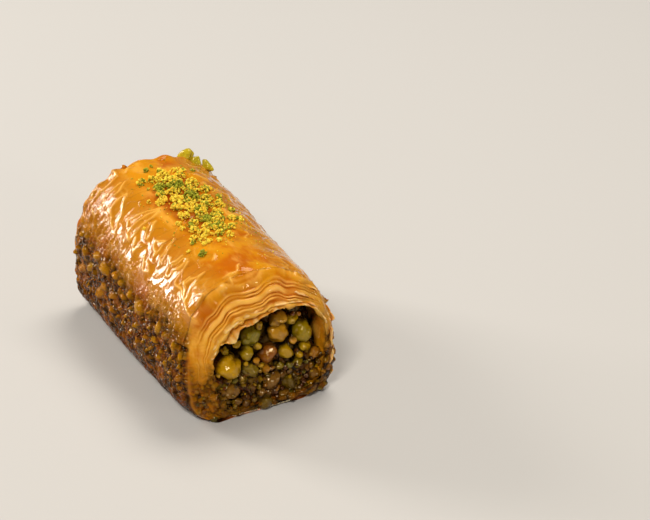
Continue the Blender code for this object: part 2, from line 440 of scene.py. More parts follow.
# Bands of the skin by distance from the crown: where a finish starts or ends, and where it is full
CREASES_START = (4.0 * MM, 7.5 * MM)
CREASES_END = (18.0 * MM, 14.5 * MM)
NUTS_START = (17.5 * MM, 20.0 * MM)
GRAINS_START = (14.0 * MM, 19.5 * MM)
BEADS_START = (12.5 * MM, 19.0 * MM)
SOAKED_START = (14.0 * MM, 22.0 * MM)
PITS_START = (18.0 * MM, 20.0 * MM)
PITS_END = (29.0 * MM, 24.0 * MM)
RELIEF_END = (33.5 * MM, 30.5 * MM)
GRAIN_HEIGHT = 0.2 * MM
PIT_DEPTH = 0.5 * MM
NUT_TONES = (0.0, 0.05, 0.1, 0.55, 0.65, 0.9)
GRAIN_TONES = (0.0, 0.1, 0.6, 0.8, 1.0)


class SkinRelief:
    """Height and colour masks, painted shade among them, of the outer leaf at any place on the skin."""

    def __init__(self, settings):
        self.settings = settings
        self.creases = crease_lines(19, 120)
        self.nuts = bump_cells(13, 18.8 * MM, 28.0 * MM, 0.8 * MM, 0.3, 1.5, NUT_TONES, MAIN_BUMPS)
        self.grains = bump_cells(14, 15.5 * MM, 33.0 * MM, 0.38 * MM, 0.5, 0.75, GRAIN_TONES, ())

    def at(self, girth, y):
        """Height above the bare skin, and the masks that the paint reads.

        The height is a sum: slow swelling, folds and their crests on the bare leaf, caps of nuts
        and grains on the lower flanks, fine roughness, less the pits between the nuts.
        """
        s = self.settings
        side = np.abs(girth) + 1.3 * MM * ripples(15, 14 * MM, girth, y)
        base_fade = step(*RELIEF_END, np.abs(girth))
        creased = step(*CREASES_START, side) * step(*CREASES_END, side)
        tent, crest = crease_height(self.creases, girth, y, 12)
        swelling = ripples(16, 9 * MM, girth, y, 1.6) + 0.25 * ripples(17, 3.4 * MM, girth, y, 1.8)
        lumpy = step(*NUTS_START, side) * base_fade
        rough_side = side + 4.0 * MM * step(0.0, 20 * MM, y)
        grainy = step(*GRAINS_START, rough_side) * base_fade
        nut, tone = bumps(self.nuts, girth, y)
        grain, grain_tone = bumps(self.grains, girth, y)
        bare = base_fade * (1 - lumpy)
        shown = step(0.3, 0.9, nut) * lumpy
        hollow = ripples(25, 3.4 * MM, girth, y) + 0.5 * ripples(26, 1.6 * MM, girth, y)
        pit = step(0.35, 0.9, hollow) * step(*PITS_START, side) * step(*PITS_END, side)
        thick = 0.35 + 0.65 * step(-0.5, 0.6, ripples(27, 5 * MM, girth, y))
        height = s.swell_height * swelling * base_fade
        height = height + s.fold_height * (tent - 0.3) * bare
        height = height + s.pleat_height * crest * bare
        height = height + s.nut_bump * (nut ** 2.2 - 0.15) * lumpy
        beside_nuts = 1 - 0.8 * step(0.1, 0.5, nut) * lumpy
        height = height + GRAIN_HEIGHT * grain ** 2.2 * grainy * thick * beside_nuts
        height = height + GRAIN_HEIGHT * ripples(20, 1.7 * MM, girth, y, 1.7) * grainy
        height = height - PIT_DEPTH * pit * (1 - shown)
        masks = {
            # Crests of the folds, painted paler: partly thin leaf, partly painted highlight
            "ridge": np.clip(crest, 0, 1) * bare,
            "creased": creased,
            "nut": shown,
            "tone": np.where(shown > 0.02, tone, grain_tone),
            "grain": step(0.15, 0.7, grain) * grainy * (1 - shown),
            "soaked": step(*SOAKED_START, side),
            "beaded": step(*BEADS_START, rough_side),
            # Painted shade in the pits between the nuts
            "gap": pit * (1 - shown) * (1 - 0.6 * step(0.2, 0.7, grain)),
            # Where the crumbs lie, for their painted shadow on the leaf
            "crumbed": self.crumbed(girth, y),
            "girth": girth / MM,
            "along": y / MM,
        }
        return height, masks

    @staticmethod
    def crumbed(girth, y):
        """1 where crumbs lie thick on the crown, and 0 away from them: an ellipse with a ragged edge."""
        spread = ((girth - 0.3 * MM) / (4.6 * MM)) ** 2 + ((y - 5.0 * MM) / (12.0 * MM)) ** 2
        return step(1.25, 0.35, spread + 0.25 * ripples(18, 4 * MM, girth, y))

    def place(self, girth, y, lift=0.0):
        """Points lifted off the finished skin, along its bare normals."""
        point, normal = bare_skin(girth, y)
        height, _ = self.at(girth, y)
        return point + normal * (height + lift)[..., None]


def grid_quads(rows, columns, rows_meet=False, columns_meet=True):
    """Quads of a grid of rows by columns, closed across the last row or column if they meet."""
    i = np.arange(rows if rows_meet else rows - 1)[:, None]
    j = np.arange(columns if columns_meet else columns - 1)[None, :]
    below, beside = (i + 1) % rows, (j + 1) % columns
    corners = [i * columns + j, i * columns + beside, below * columns + beside, below * columns + j]
    return np.stack(np.broadcast_arrays(*corners), -1).reshape(-1, 4)


def pole_fans(rows, columns):
    """Triangles from a grid's first and last row to one point each, both numbered after the grid."""
    first = np.arange(columns)
    after = (first + 1) % columns
    last = (rows - 1) * columns
    start = np.stack([after, first, np.full(columns, rows * columns)], -1)
    stop = np.stack([last + first, last + after, np.full(columns, rows * columns + 1)], -1)
    return np.concatenate([start, stop])


def repeated(faces, copies, points_each):
    """The faces of one shape, numbered on for each of its copies."""
    offsets = (np.arange(copies) * points_each)[:, None, None]
    return (faces[None] + offsets).reshape(-1, faces.shape[1])


def build(name, points, face_sets, slot, material, masks=None):
    """A smooth mesh object, with one float attribute for each mask; a piece of the roll rides root.

    If the faces together hold a negative volume, they point inwards, and all are turned round.
    """
    points = np.asarray(points, float).reshape(-1, 3)
    signs = sum(face_volume(points, faces) for faces in face_sets)
    if signs < 0:
        face_sets = [faces[:, ::-1] for faces in face_sets]
    mesh = bpy.data.meshes.new(name)
    mesh.vertices.add(len(points))
    mesh.vertices.foreach_set("co", points.astype(np.float32).ravel())
    corners = np.concatenate([faces.ravel() for faces in face_sets])
    totals = np.concatenate([np.full(len(faces), faces.shape[1]) for faces in face_sets])
    mesh.loops.add(len(corners))
    mesh.loops.foreach_set("vertex_index", corners.astype(np.int32))
    mesh.polygons.add(len(totals))
    mesh.polygons.foreach_set("loop_start", (np.cumsum(totals) - totals).astype(np.int32))
    mesh.polygons.foreach_set("loop_total", totals.astype(np.int32))
    mesh.polygons.foreach_set("use_smooth", np.full(len(totals), True))
    for mask, values in (masks or {}).items():
        attribute = mesh.attributes.new(mask, "FLOAT", "POINT")
        attribute.data.foreach_set("value", np.asarray(values, np.float32).ravel())
    mesh.update(calc_edges=True)
    mesh.validate()
    piece = bpy.data.objects.new(name, mesh)
    bpy.context.scene.collection.objects.link(piece)
    mesh.materials.append(material)
    if slot:
        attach(piece, "root")
    return piece


def face_volume(points, faces):
    """Six times the signed volume between the faces and the origin, each face as a fan."""
    first = points[faces[:, 0]]
    total = 0.0
    for k in range(1, faces.shape[1] - 1):
        second, third = points[faces[:, k]], points[faces[:, k + 1]]
        total += np.einsum("ij,ij->i", first, np.cross(second, third)).sum()
    return total


def blob_grid(rings, spokes):
    """Directions of a sphere's grid with one point at each pole, and its quads and triangles."""
    polar = np.linspace(0, math.pi, rings + 2)[1:-1][:, None]
    turn = np.arange(spokes)[None, :] * TURN / spokes
    x, y, z = np.sin(polar) * np.cos(turn), np.sin(polar) * np.sin(turn), np.cos(polar)
    ring = np.stack(np.broadcast_arrays(x, y, z), -1)
    directions = np.concatenate([ring.reshape(-1, 3), [[0, 0, 1.0], [0, 0, -1.0]]])
    return directions, grid_quads(rings, spokes), pole_fans(rings, spokes)


def random_turns(rng, count):
    """Seeded rotation matrices, from normalised random quaternions."""
    w, x, y, z = unit(rng.normal(size=(count, 4))).T
    rows = [
        [1 - 2 * (y * y + z * z), 2 * (x * y - z * w), 2 * (x * z + y * w)],
        [2 * (x * y + z * w), 1 - 2 * (x * x + z * z), 2 * (y * z - x * w)],
        [2 * (x * z - y * w), 2 * (y * z + x * w), 1 - 2 * (x * x + y * y)],
    ]
    return np.array(rows).transpose(2, 0, 1)


def blobs(seed, centres, radii, rings, spokes, lobes=0.1, cuts=0, cut_reach=(0.55, 1.0), lobe_waves=3.0,
          squash=(0.75, 1.0), sharp=14.0):
    """Many lumpy closed blobs at once: points, quads, triangles, and each point's hollowness.

    Each is an ellipsoid whose radius is 1 plus a few cosine waves over its directions, cut by a few
    planes, then turned at random. A cut takes the smaller of two radii by a soft minimum,
    -log(exp(-s a) + exp(-s b)) / s, so its edge is rounder where the sharpness s is less. The
    hollowness is how far the waves draw a point in.
    """
    rng = np.random.default_rng(seed)
    count = len(centres)
    directions, quads, triangles = blob_grid(rings, spokes)
    radius = np.ones((count, len(directions)))
    wave_count = 6
    for _ in range(wave_count):
        way = rng.normal(size=(count, 3)) * lobe_waves
        start = rng.uniform(0, TURN, (count, 1))
        radius += lobes * np.cos(way @ directions.T + start) / math.sqrt(wave_count)
    hollow = 1 - radius
    for _ in range(cuts):
        way = unit(rng.normal(size=(count, 3)))
        reach = rng.uniform(*cut_reach, (count, 1)) / np.maximum(way @ directions.T, 0.05)
        radius = -np.log(np.exp(-sharp * radius) + np.exp(-sharp * np.minimum(reach, 3))) / sharp
    stretch = rng.uniform(*squash, (count, 1, 3))
    shape = directions[None] * radius[..., None] * stretch * np.asarray(radii)[:, None, None]
    turned = np.einsum("nij,nvj->nvi", random_turns(rng, count), shape)
    points = turned + np.asarray(centres)[:, None]
    return points, [repeated(faces, count, len(directions)) for faces in (quads, triangles)], hollow


# ---------------------------------------------------------------------------------------------
# Shader maths


class Wire:
    """A shader value that can be added and multiplied, from either side, by Math nodes."""

    def __init__(self, paint, socket):
        self.paint = paint
        self.socket = socket

    def math(self, operation, *values):
        """A Math node."""
        return self.paint.add("ShaderNodeMath", {"operation": operation}, dict(enumerate(values)))

    def __add__(self, other):
        return self.math("ADD", self, other)

    def __mul__(self, other):
        return self.math("MULTIPLY", self, other)

    __radd__ = __add__
    __rmul__ = __mul__

    def step(self, low, high):
        """0 below low and 1 above high, smooth between."""
        values = {"Value": self, "From Min": low, "From Max": high}
        return self.paint.add("ShaderNodeMapRange", {"interpolation_type": "SMOOTHSTEP"}, values)


REFRACTION = 1.45
WARM_GLOSS = (1.0, 0.82, 0.52, 1.0)
FILM_ROUGHNESS = 0.06      # of the syrup film that lies over a paint as its coat
AMBER_SCATTER = (1.0, 0.4, 0.12)
NUT_SCATTER = (1.0, 0.7, 0.2)
CRUMB_SCATTER = (1.0, 0.8, 0.25)


class Paint:
    """A material under construction."""

    def __init__(self, name, specular=0.5, scatter=0.0, scatter_size=MM, scatter_colour=AMBER_SCATTER):
        self.material = bpy.data.materials.new(name)
        self.material.use_nodes = True
        self.tree = self.material.node_tree
        self.shader = self.tree.nodes["Principled BSDF"]
        for socket, value in (
            ("IOR", REFRACTION),
            ("Specular IOR Level", specular),
            ("Specular Tint", WARM_GLOSS),
            ("Coat Roughness", FILM_ROUGHNESS),
            ("Subsurface Weight", scatter),
            ("Subsurface Scale", scatter_size),
            ("Subsurface Radius", scatter_colour),
        ):
            self.shader.inputs[socket].default_value = value

    def add(self, kind, settings=None, values=None, output=0):
        """A node of that type, with its settings made first and then its sockets set or linked."""
        node = self.tree.nodes.new(kind)
        for key, value in (settings or {}).items():
            if key == "stops":
                self.set_stops(node.color_ramp, value)
            else:
                setattr(node, key, value)
        for key, value in (values or {}).items():
            self.plug(value, node.inputs[key])
        return Wire(self, node.outputs[output])

    def plug(self, value, socket):
        """Link a wire to a socket, or set the socket to a number, a vector or a colour."""
        if isinstance(value, Wire):
            self.tree.links.new(value.socket, socket)
        elif socket.type == "RGBA" and len(value) == 3:
            socket.default_value = (*value, 1.0)
        else:
            socket.default_value = value

    @staticmethod
    def set_stops(ramp, stops):
        """Give a colour ramp its stops, each a place and a colour."""
        while len(ramp.elements) < len(stops):
            ramp.elements.new(1.0)
        for element, (place, shade) in zip(ramp.elements, stops):
            element.position = place
            element.color = (*shade, 1.0)

    def mask(self, name):
        """The piece's own float attribute of that name."""
        return self.add("ShaderNodeAttribute", {"attribute_name": name}, output="Fac")

    def place(self, scale=(1.0, 1.0, 1.0), turn=(0.0, 0.0, 0.0)):
        """Object coordinates, stretched and turned."""
        own = self.add("ShaderNodeTexCoord", output="Object")
        return self.add("ShaderNodeMapping", values={"Vector": own, "Scale": scale, "Rotation": turn})

    def noise(self, scale, detail=2.0, roughness=0.5, vector=None, distortion=0.0):
        """Cloudy values round 0.5, on Object coordinates unless another place is given."""
        values = {"Vector": vector or self.place(), "Scale": scale, "Detail": detail,
                  "Roughness": roughness, "Distortion": distortion}
        return self.add("ShaderNodeTexNoise", {}, values, "Fac")

    def vector(self, operation, *values, output="Vector"):
        """A Vector Math node."""
        return self.add("ShaderNodeVectorMath", {"operation": operation}, dict(enumerate(values)), output)

    def blend(self, amount, first, second):
        """A colour between two, by a Mix node: its colours are inputs 6 and 7, and output 2."""
        return self.add("ShaderNodeMix", {"data_type": "RGBA"}, {0: amount, 6: first, 7: second}, 2)

    def ramp(self, value, stops):
        """A colour read from a ramp at a value."""
        return self.add("ShaderNodeValToRGB", {"stops": stops}, {"Fac": value})

    def bump(self, height, distance, strength=1.0, below=None):
        """A normal bent by heights times a distance, on top of the bump below."""
        values = {"Height": height, "Distance": distance, "Strength": strength}
        if below:
            values["Normal"] = below
        return self.add("ShaderNodeBump", {}, values)

    def finish(self, **sockets):
        """Plug the named sockets of the shader, and give the material."""
        for name, value in sockets.items():
            self.plug(value, self.shader.inputs[name.replace("_", " ").title()])
        return self.material


def facets(paint, place, scale):
    """Bump heights of flat facets: a plane, tilted at random, in each cell of a Voronoi pattern.

    The cell's random colour gives the tilt: height = (place - middle of the cell) . (colour - 0.5).
    """
    values = {"Vector": place, "Scale": scale}
    middle = paint.add("ShaderNodeTexVoronoi", {}, values, "Position")
    shade = paint.add("ShaderNodeTexVoronoi", {}, values, "Color")
    away = paint.vector("SUBTRACT", place, middle)
    tilt = paint.vector("SUBTRACT", shade, (0.5, 0.5, 0.5))
    return paint.vector("DOT_PRODUCT", away, tilt, output="Value")


def crumple(paint, sheet):
    """Bump heights in mm of the creased sheet: long slanting facets and thin raised lines.

    Places in mm on the sheet are shifted by noise, turned and stretched. Each cell of a Voronoi
    pattern on them is one facet, and its border is a raised line.
    """
    waves = {"Vector": sheet, "Scale": 0.5, "Detail": 2.0}
    wobble = paint.add("ShaderNodeTexNoise", values=waves, output="Color")
    sheet = paint.vector("MULTIPLY_ADD", wobble, (1.6, 1.6, 0.0), sheet)
    slant = {"Vector": sheet, "Rotation": (0, 0, 0.7), "Scale": (0.22, 0.42, 1)}
    turned = paint.add("ShaderNodeMapping", values=slant)
    cells = {"Vector": turned, "Scale": 1.0}
    border = paint.add("ShaderNodeTexVoronoi", {"feature": "DISTANCE_TO_EDGE"}, cells, "Distance")
    return facets(paint, turned, 1.0) * 0.8 + border.step(0.05, 0.0) * 0.07


# Colours of the leaf that have no setting of their own, painted shade among them
CREASED_LEAF = srgb(190, 118, 14)
CRUMB_SHADOW_AND_OIL = srgb(150, 62, 2)
VALLEY_SHADE = srgb(178, 78, 3)
INNER_LEAF = srgb(214, 164, 66)
THIN_WALL = srgb(184, 132, 44)
SOAKED_SPECKS = srgb(106, 46, 0)
SOAKED_PATCHES = srgb(158, 84, 2)
GAP_SHADE = srgb(22, 9, 1)
LEAF_OVER_NUT = srgb(214, 138, 14)
LOOSE_LEAF = srgb(224, 156, 54)
LOOSE_LEAF_TOASTED = srgb(202, 124, 24)
LOOSE_LEAF_EDGE = srgb(244, 208, 140)


def phyllo_paint(settings):
    """Baked leaf under clear syrup.

    Gold and amber patches come first, then the masks of the relief in turn: paler crests of folds and
    leaf edges, partly thin leaf and partly painted highlight; painted shadow under the crumbs, with some
    oil; painted shade between the leaves; brown near the base; painted shade in the gaps; and nuts that
    show through. A film of syrup is the coat, where the sheet is creased.
    """
    paint = Paint("glazed_phyllo", specular=0.22, scatter=0.1, scatter_size=0.6 * MM)
    patches = paint.noise(150, 3.0, 0.55, distortion=0.4)
    streaks = paint.noise(420, 3.0, 0.6, paint.place((1.0, 0.35, 1.0), (0.3, 0.2, 0.5)))
    base = paint.blend(patches.step(0.44, 0.66), settings.gold, settings.amber)
    base = paint.blend(streaks.step(0.48, 0.78) * 0.4, base, settings.pale)
    base = paint.blend(paint.mask("creased") * 0.75, base, CREASED_LEAF)
    # Paler crests: partly thin leaf, partly painted highlight
    base = paint.blend(paint.mask("ridge") * 0.65, base, settings.pale)
    # Painted shadow of the crumbs on the leaf, with some oil
    base = paint.blend(paint.mask("crumbed") * 0.8, base, CRUMB_SHADOW_AND_OIL)
    # Painted shade in the valleys between stacked leaf edges
    base = paint.blend(paint.mask("valley") * 0.7, base, VALLEY_SHADE)
    base = paint.blend(paint.mask("inner") * 0.5, base, INNER_LEAF)
    base = paint.blend(paint.mask("thin") * 0.7, base, THIN_WALL)
    sheet = paint.add("ShaderNodeCombineXYZ", values={"X": paint.mask("girth"), "Y": paint.mask("along")})
    wet = paint.noise(500, 5.0, 0.7, distortion=0.6)
    brown = paint.blend(wet.step(0.46, 0.62), settings.soaked, SOAKED_SPECKS)
    brown = paint.blend(paint.noise(330, 3.0, 0.6).step(0.54, 0.68) * 0.7, brown, SOAKED_PATCHES)
    base = paint.blend(paint.mask("soaked") * 0.97, base, brown)
    # Painted shade in the pits and gaps
    base = paint.blend(paint.mask("gap") * 0.85, base, GAP_SHADE)
    nuts = paint.ramp(paint.mask("tone"), nut_stops(bpy.context.scene.baklava_pistachio))
    nuts = paint.blend(0.5, nuts, LEAF_OVER_NUT)
    base = paint.blend(paint.mask("grain") * 0.28, base, nuts)
    base = paint.blend(paint.mask("nut") * 0.75, base, nuts)
    fine = paint.noise(1900, 3.0, 0.6)
    relief = paint.bump(fine, 0.02 * MM, 0.5, paint.bump(streaks, 0.06 * MM, 0.5))
    relief = paint.bump(crumple(paint, sheet) * (paint.mask("creased") * 0.6 + 0.18), 1.0 * MM, 0.9, relief)
    sparkle = facets(paint, sheet, 2.6) * paint.mask("beaded") * 1.2
    relief = paint.bump(sparkle, 1.0 * MM, 0.9, relief)
    rough = 0.04 + 0.06 * paint.noise(900) + 0.04 * paint.mask("soaked")
    film = paint.mask("creased") * 0.5 + paint.mask("ridge") * 0.25
    return paint.finish(base_color=base, roughness=rough, normal=relief, coat_weight=film)


def leaf_paint():
    """Thin loose leaves: pale gold with toasted patches, whiter along the very edge."""
    paint = Paint("thin_phyllo_leaf", scatter=0.3, scatter_size=1.0 * MM)
    patches = paint.noise(260, 3.0, 0.6)
    base = paint.blend(patches.step(0.35, 0.7), LOOSE_LEAF, LOOSE_LEAF_TOASTED)
    base = paint.blend(paint.mask("edge").step(0.3, 1.0) * 0.6, base, LOOSE_LEAF_EDGE)
    streaks = paint.noise(500, 3.0, 0.6, paint.place((1.0, 0.2, 1.0)))
    relief = paint.bump(paint.noise(1500, 3.0, 0.6), 0.05 * MM, 0.6, paint.bump(streaks, 0.15 * MM, 0.7))
    return paint.finish(base_color=base, roughness=0.1 + 0.15 * patches, normal=relief)


# Colours of the nuts, the syrup and the crumbs that have no setting of their own, painted shade among them
FRESH_NUT = srgb(184, 180, 40)
NUT_MOTTLE = srgb(220, 172, 52)
NUT_HOLLOW_SHADE = srgb(84, 40, 3)
NUT_IN_SHADE = srgb(24, 9, 2)
SYRUP_OVER_NUTS = srgb(96, 40, 5)
SYRUP_DROP = srgb(206, 134, 34)
CRUMB_POWDER = srgb(236, 214, 96)
CRUMB_HOLLOW_SHADE = srgb(128, 84, 8)
TOASTED_CRUMB = srgb(244, 188, 34)
SKIN_CRUMB = srgb(118, 128, 16)


def nut_stops(settings):
    """Ramp of nut flesh by tone: yellow, green, toasted, soaked."""
    return ((0.0, settings.yellow), (0.3, settings.green), (0.6, settings.tan), (1.0, settings.brown))


def nut_paint(settings, name, specular=0.85, facet_scale=1200, facet_tilt=0.8, some_fresh=False):
    """Wet nut flesh, mottled: painted shade in its hollows, where syrup lies too, and on what lies deep in
    the end.

    Fresh pieces are limier. Facets in the bump, of a given scale and tilt, make it sparkle.
    """
    paint = Paint(name, specular=specular, scatter=0.1, scatter_size=0.6 * MM, scatter_colour=NUT_SCATTER)
    base = paint.ramp(paint.mask("tone"), nut_stops(settings))
    if some_fresh:
        base = paint.blend(paint.mask("fresh") * 0.6, base, FRESH_NUT)
    mottle = paint.noise(900, 4.0, 0.6)
    base = paint.blend(mottle.step(0.5, 0.75) * 0.35, base, NUT_MOTTLE)
    # Painted shade in the hollows, with some syrup there
    base = paint.blend(paint.mask("hollow").step(0.03, 0.2) * 0.7, base, NUT_HOLLOW_SHADE)
    # Painted shade: behind, under and deep in the end
    base = paint.blend(paint.mask("deep") * 0.92, base, NUT_IN_SHADE)
    relief = paint.bump(paint.noise(2400, 3.0, 0.6), 0.015 * MM, 0.6, paint.bump(mottle, 0.2 * MM, 0.6))
    relief = paint.bump(facets(paint, paint.place(), facet_scale) * facet_tilt, 1.0, 0.8, relief)
    return paint.finish(base_color=base, roughness=0.04 + 0.08 * mottle, normal=relief)


def core_paint(pistachio, syrup):
    """Dark syrup packed with crushed nuts."""
    paint = Paint("nuts_in_syrup", specular=0.4)
    nuts = paint.ramp(paint.mask("tone"), nut_stops(pistachio))
    grain = paint.noise(1500, 4.0, 0.6)
    base = paint.blend(grain.step(0.5, 0.8) * 0.3, syrup.dark, SYRUP_OVER_NUTS)
    base = paint.blend(paint.mask("nut") * 0.25, base, nuts)
    relief = paint.bump(facets(paint, paint.place(), 1900), 1.0, 1.0, paint.bump(grain, 0.12 * MM, 0.8))
    return paint.finish(base_color=base, roughness=0.06 + 0.12 * grain, normal=relief)


def crumb_paint(name, shade, other):
    """Dry ground nut: powdery, each granule a little different."""
    paint = Paint(name, scatter=0.2, scatter_size=0.4 * MM, scatter_colour=CRUMB_SCATTER)
    base = paint.blend(paint.mask("tone"), shade, other)
    powder = paint.noise(3200, 3.0, 0.7)
    base = paint.blend(powder.step(0.5, 0.8) * 0.4, base, CRUMB_POWDER)
    # Painted shade in each granule's hollows
    base = paint.blend(paint.mask("hollow").step(0.02, 0.25) * 0.6, base, CRUMB_HOLLOW_SHADE)
    relief = paint.bump(powder, 0.1 * MM, 0.8)
    return paint.finish(base_color=base, roughness=0.6 + 0.3 * powder, normal=relief)


def syrup_paint(name, thin, thick):
    """Thick glossy syrup, in cloudy patches of a thin and a thick colour."""
    paint = Paint(name)
    depth = paint.noise(300, 2.0, 0.5)
    base = paint.blend(depth.step(0.3, 0.55), thin, thick)
    relief = paint.bump(paint.noise(500, 1.0), 0.05 * MM, 0.3)
    return paint.finish(base_color=base, roughness=0.03 + 0.05 * depth, normal=relief)


# ---------------------------------------------------------------------------------------------
# Pieces


def skin_girths():
    """Girths once round: closest where the left flank is creased, and wide apart under the base."""
    spans = (
        (TABLE_GIRTH[0], -33 * MM, 26),
        (-33 * MM, 4.5 * MM, 140),
        (4.5 * MM, 18.5 * MM, 92),
        (18.5 * MM, 33 * MM, 72),
        (33 * MM, TABLE_GIRTH[-1], 26),
    )
    return np.concatenate([np.linspace(low, high, count, endpoint=False) for low, high, count in spans])


CORNER = 0.9 * MM          # radius of the rounded corner between the skin and a cut end
CORNER_ROWS = 9
SKIN_ROWS = 174
FRONT_ROWS = 66
BACK_ROWS = 28
THIN_SIDE = 0.34           # share of the wall that is missing on the right of the front opening
LEAF_PITCH = 1.2 * MM      # thickness of a leaf edge that shows on the skin, past an end's corner

# Rows just inside an opening: how far in, in mm, and what is left there of the rim's relief
BORE_ROWS = ((0.25, 0.7), (0.6, 0.35), (1.2, 0.1), (2.4, 0.0))


def end_wall(angle, depth, y, end):
    """A point of the wall near an end: at the front, the wall is thinner on the right."""
    missing = THIN_SIDE * step(0.25, 0.9, np.cos(angle)) if end < 0 else 0.0
    return wall(angle, depth * (1 - missing), y)


def end_rows(angle, end, rows):
    """Bare points of one end from its corner to the bore, and each row's share of the wall's depth.

    A quarter round leads from the skin into the end face, which then runs evenly to the bore.
    """
    outer, inner = wall(angle, 0.0, end * LENGTH / 2), wall(angle, 1.0, end * LENGTH / 2)
    corner = np.minimum(CORNER / np.linalg.norm(outer - inner, axis=-1), 0.45)
    swing = np.linspace(0, math.pi / 2, CORNER_ROWS + 1)[1:, None]
    face = corner + (1 - corner) * np.linspace(0, 1, rows - CORNER_ROWS + 1)[1:, None]
    depth = np.concatenate([corner * (1 - np.cos(swing)), face])
    behind = np.concatenate([CORNER * (1 - np.sin(swing)) + 0 * corner, 0 * face])
    return end_wall(angle, depth, rim_y(angle, depth, end) - end * behind, end), depth


def bore_rows(angle, end):
    """Rows just inside an opening, and what is left there of the relief and finish of its rim."""
    behind, left = np.array(BORE_ROWS).T[..., None]
    return end_wall(angle, 1.0, rim_y(angle, 1.0, end) - end * (behind * MM), end), left


# Crushed nuts in the end walls and over the core's faces, in mm
WALL_GRAINS = {
    "tries": 1600, "half_width": 16, "low": 0.2, "high": 16, "smallest": 0.3, "largest": 0.9,
    "keep": 0.7, "tones": GRAIN_TONES,
}
CORE_GRAINS = {
    "tries": 2600, "half_width": 12, "low": 0, "high": 22, "smallest": 0.4, "largest": 1.15,
    "keep": 0.62, "tones": (0.1, 0.5, 0.7, 0.9, 1.0, 1.0),
}


@functools.cache
def scattered_grains(seed, tries, half_width, low, high, smallest, largest, keep, tones):
    """Seeded grains over an end: x, z, turn, half length, half width and tone in rows."""
    rng = np.random.default_rng(seed)
    rows = []
    for _ in range(tries):
        x, z = rng.uniform(-half_width, half_width) * MM, rng.uniform(low, high) * MM
        long_side = rng.uniform(smallest, largest) * MM
        if not rows or clearance(rows, x, z, long_side).min() > keep:
            tone = rng.choice(tones)
            rows.append((x, z, rng.uniform(0, 3), long_side, long_side * rng.uniform(0.6, 1.0), tone))
    return np.array(rows)


def terraces(phase, girth, seed):
    """Edges of stacked leaves, rising softly and falling sharply, of uneven thickness and strength.

    The phase counts leaves. It wanders slowly along the girth, and a sine of it makes some leaves
    thick and some thin. Each leaf's share s of its thickness gives the profile sqrt(1 - (2 s^q - 1)^2).
    """
    wander = 0.5 * ripples(seed, 11 * MM, girth, 0.5 * MM * phase)
    wander = wander + 0.2 * ripples(seed + 1, 4.5 * MM, girth, 0.6 * MM * phase)
    place = phase + wander
    place = place + 0.3 * np.sin(2.4 * place + 0.8)
    leaf = np.floor(place)
    share = place - leaf
    edge = np.sqrt(np.maximum(1 - (2 * share ** 1.5 - 1) ** 2, 0.0))
    strength = step(-0.9, 0.5, ripples(seed + 2, 8 * MM, girth, 5.3 * MM * leaf))
    return edge, strength


def end_relief(settings, flat, angle, girth, depth, phase, end):
    """Height and masks of a cut end: leaf edges on top, weaker ones beside, nuts in syrup below."""
    seed = 34 if end < 0 else 44
    sine, cosine = np.sin(angle), np.cos(angle)
    top = step(0.1, 0.75, sine) * (1 - 0.3 * step(0.4, 0.9, cosine))
    patchy = 1.6 * MM * ripples(seed + 5, 4 * MM, flat[..., 0], flat[..., 2])
    lower = step(12.5 * MM, 8.5 * MM, flat[..., 2] + patchy) * step(0.0, 0.15, depth)
    glow = step(-6.0 * MM, -10.0 * MM, -end * flat[..., 0] + patchy)
    edge, strength = terraces(phase, girth, seed)
    uneven = mix(0.35, 1.25, strength)
    cap, tone = bumps(scattered_grains(seed + 4, **WALL_GRAINS), -end * flat[..., 0], flat[..., 2])
    above_floor = step(0.2 * MM, 1.2 * MM, flat[..., 2])
    layered = mix(0.3, 1.0, top) * mix(0.45, 1.0, step(0.15, 0.5, depth)) * (1 - lower)
    height = settings.leaf_bulge * (edge - 0.5) * uneven * layered
    height = height + 0.35 * MM * ripples(seed + 8, 4 * MM, girth, 0.4 * MM * phase) * (1 - lower)
    lumps = 0.45 * MM * cap + 0.3 * MM * ripples(seed + 6, 3 * MM, flat[..., 0], flat[..., 2])
    height = height + lumps * lower * above_floor
    masks = {
        "grain": step(0.1, 0.6, cap) * lower,
        "tone": tone,
        "soaked": np.maximum(lower * (1 - 0.12 * glow), 0.5 * step(15 * MM, 8 * MM, flat[..., 2])),
        "beaded": lower,
        # Painted shade in the valleys between leaf edges, and paler crests, partly painted highlight
        "valley": (1 - edge) ** 2 * layered * uneven,
        "ridge": edge ** 4 * layered * uneven,
        # Painted shade low in the end, between the grains
        "gap": lower * step(-9.5 * MM, -7.5 * MM, -end * flat[..., 0]) * (1 - 0.5 * step(0.1, 0.6, cap)),
        "inner": step(0.7, 0.9, depth + 0.05 * ripples(seed + 7, 4 * MM, girth, 0 * girth)) * (1 - lower),
        "thin": step(0.45, 0.9, cosine) * step(-0.1, 0.1, sine) * (1 - 0.6 * lower) + 0 * depth,
    }
    return height, masks


def grid_normals(points):
    """Normals of a grid closed both ways, from the differences between its neighbours."""
    down = np.roll(points, -1, axis=0) - np.roll(points, 1, axis=0)
    beside = np.roll(points, -1, axis=1) - np.roll(points, 1, axis=1)
    return unit(np.cross(down, beside))


EDGES_REACH = 2.5 * MM     # how far past an end's corner leaf edges show on the skin
RIM_SHARE = 0.12           # share of the wall's depth over which the skin's relief fades out
RIM_MASKS = ("ridge", "nut", "gap", "soaked", "grain", "beaded")


def end_masks(marks, masks, row, keep, flat, girth, end):
    """Masks of an end's rows: its own, and those of the skin's next row where they are kept.

    Girth and place along run on over the end, by the distance from the middle of the underside.
    """
    worn = {name: masks[name][row] * keep for name in RIM_MASKS}
    none = 0 * keep
    both = {name: np.maximum(marks.get(name, none), worn.get(name, none)) for name in (*marks, *worn)}
    both["girth"] = girth / MM + none
    both["along"] = flat[..., 1] / MM + end * (flat[..., 0] ** 2 + flat[..., 2] ** 2) ** 0.5 / MM
    both["tone"] = np.where(worn["nut"] > 0.3, masks["tone"][row], marks["tone"])
    return both


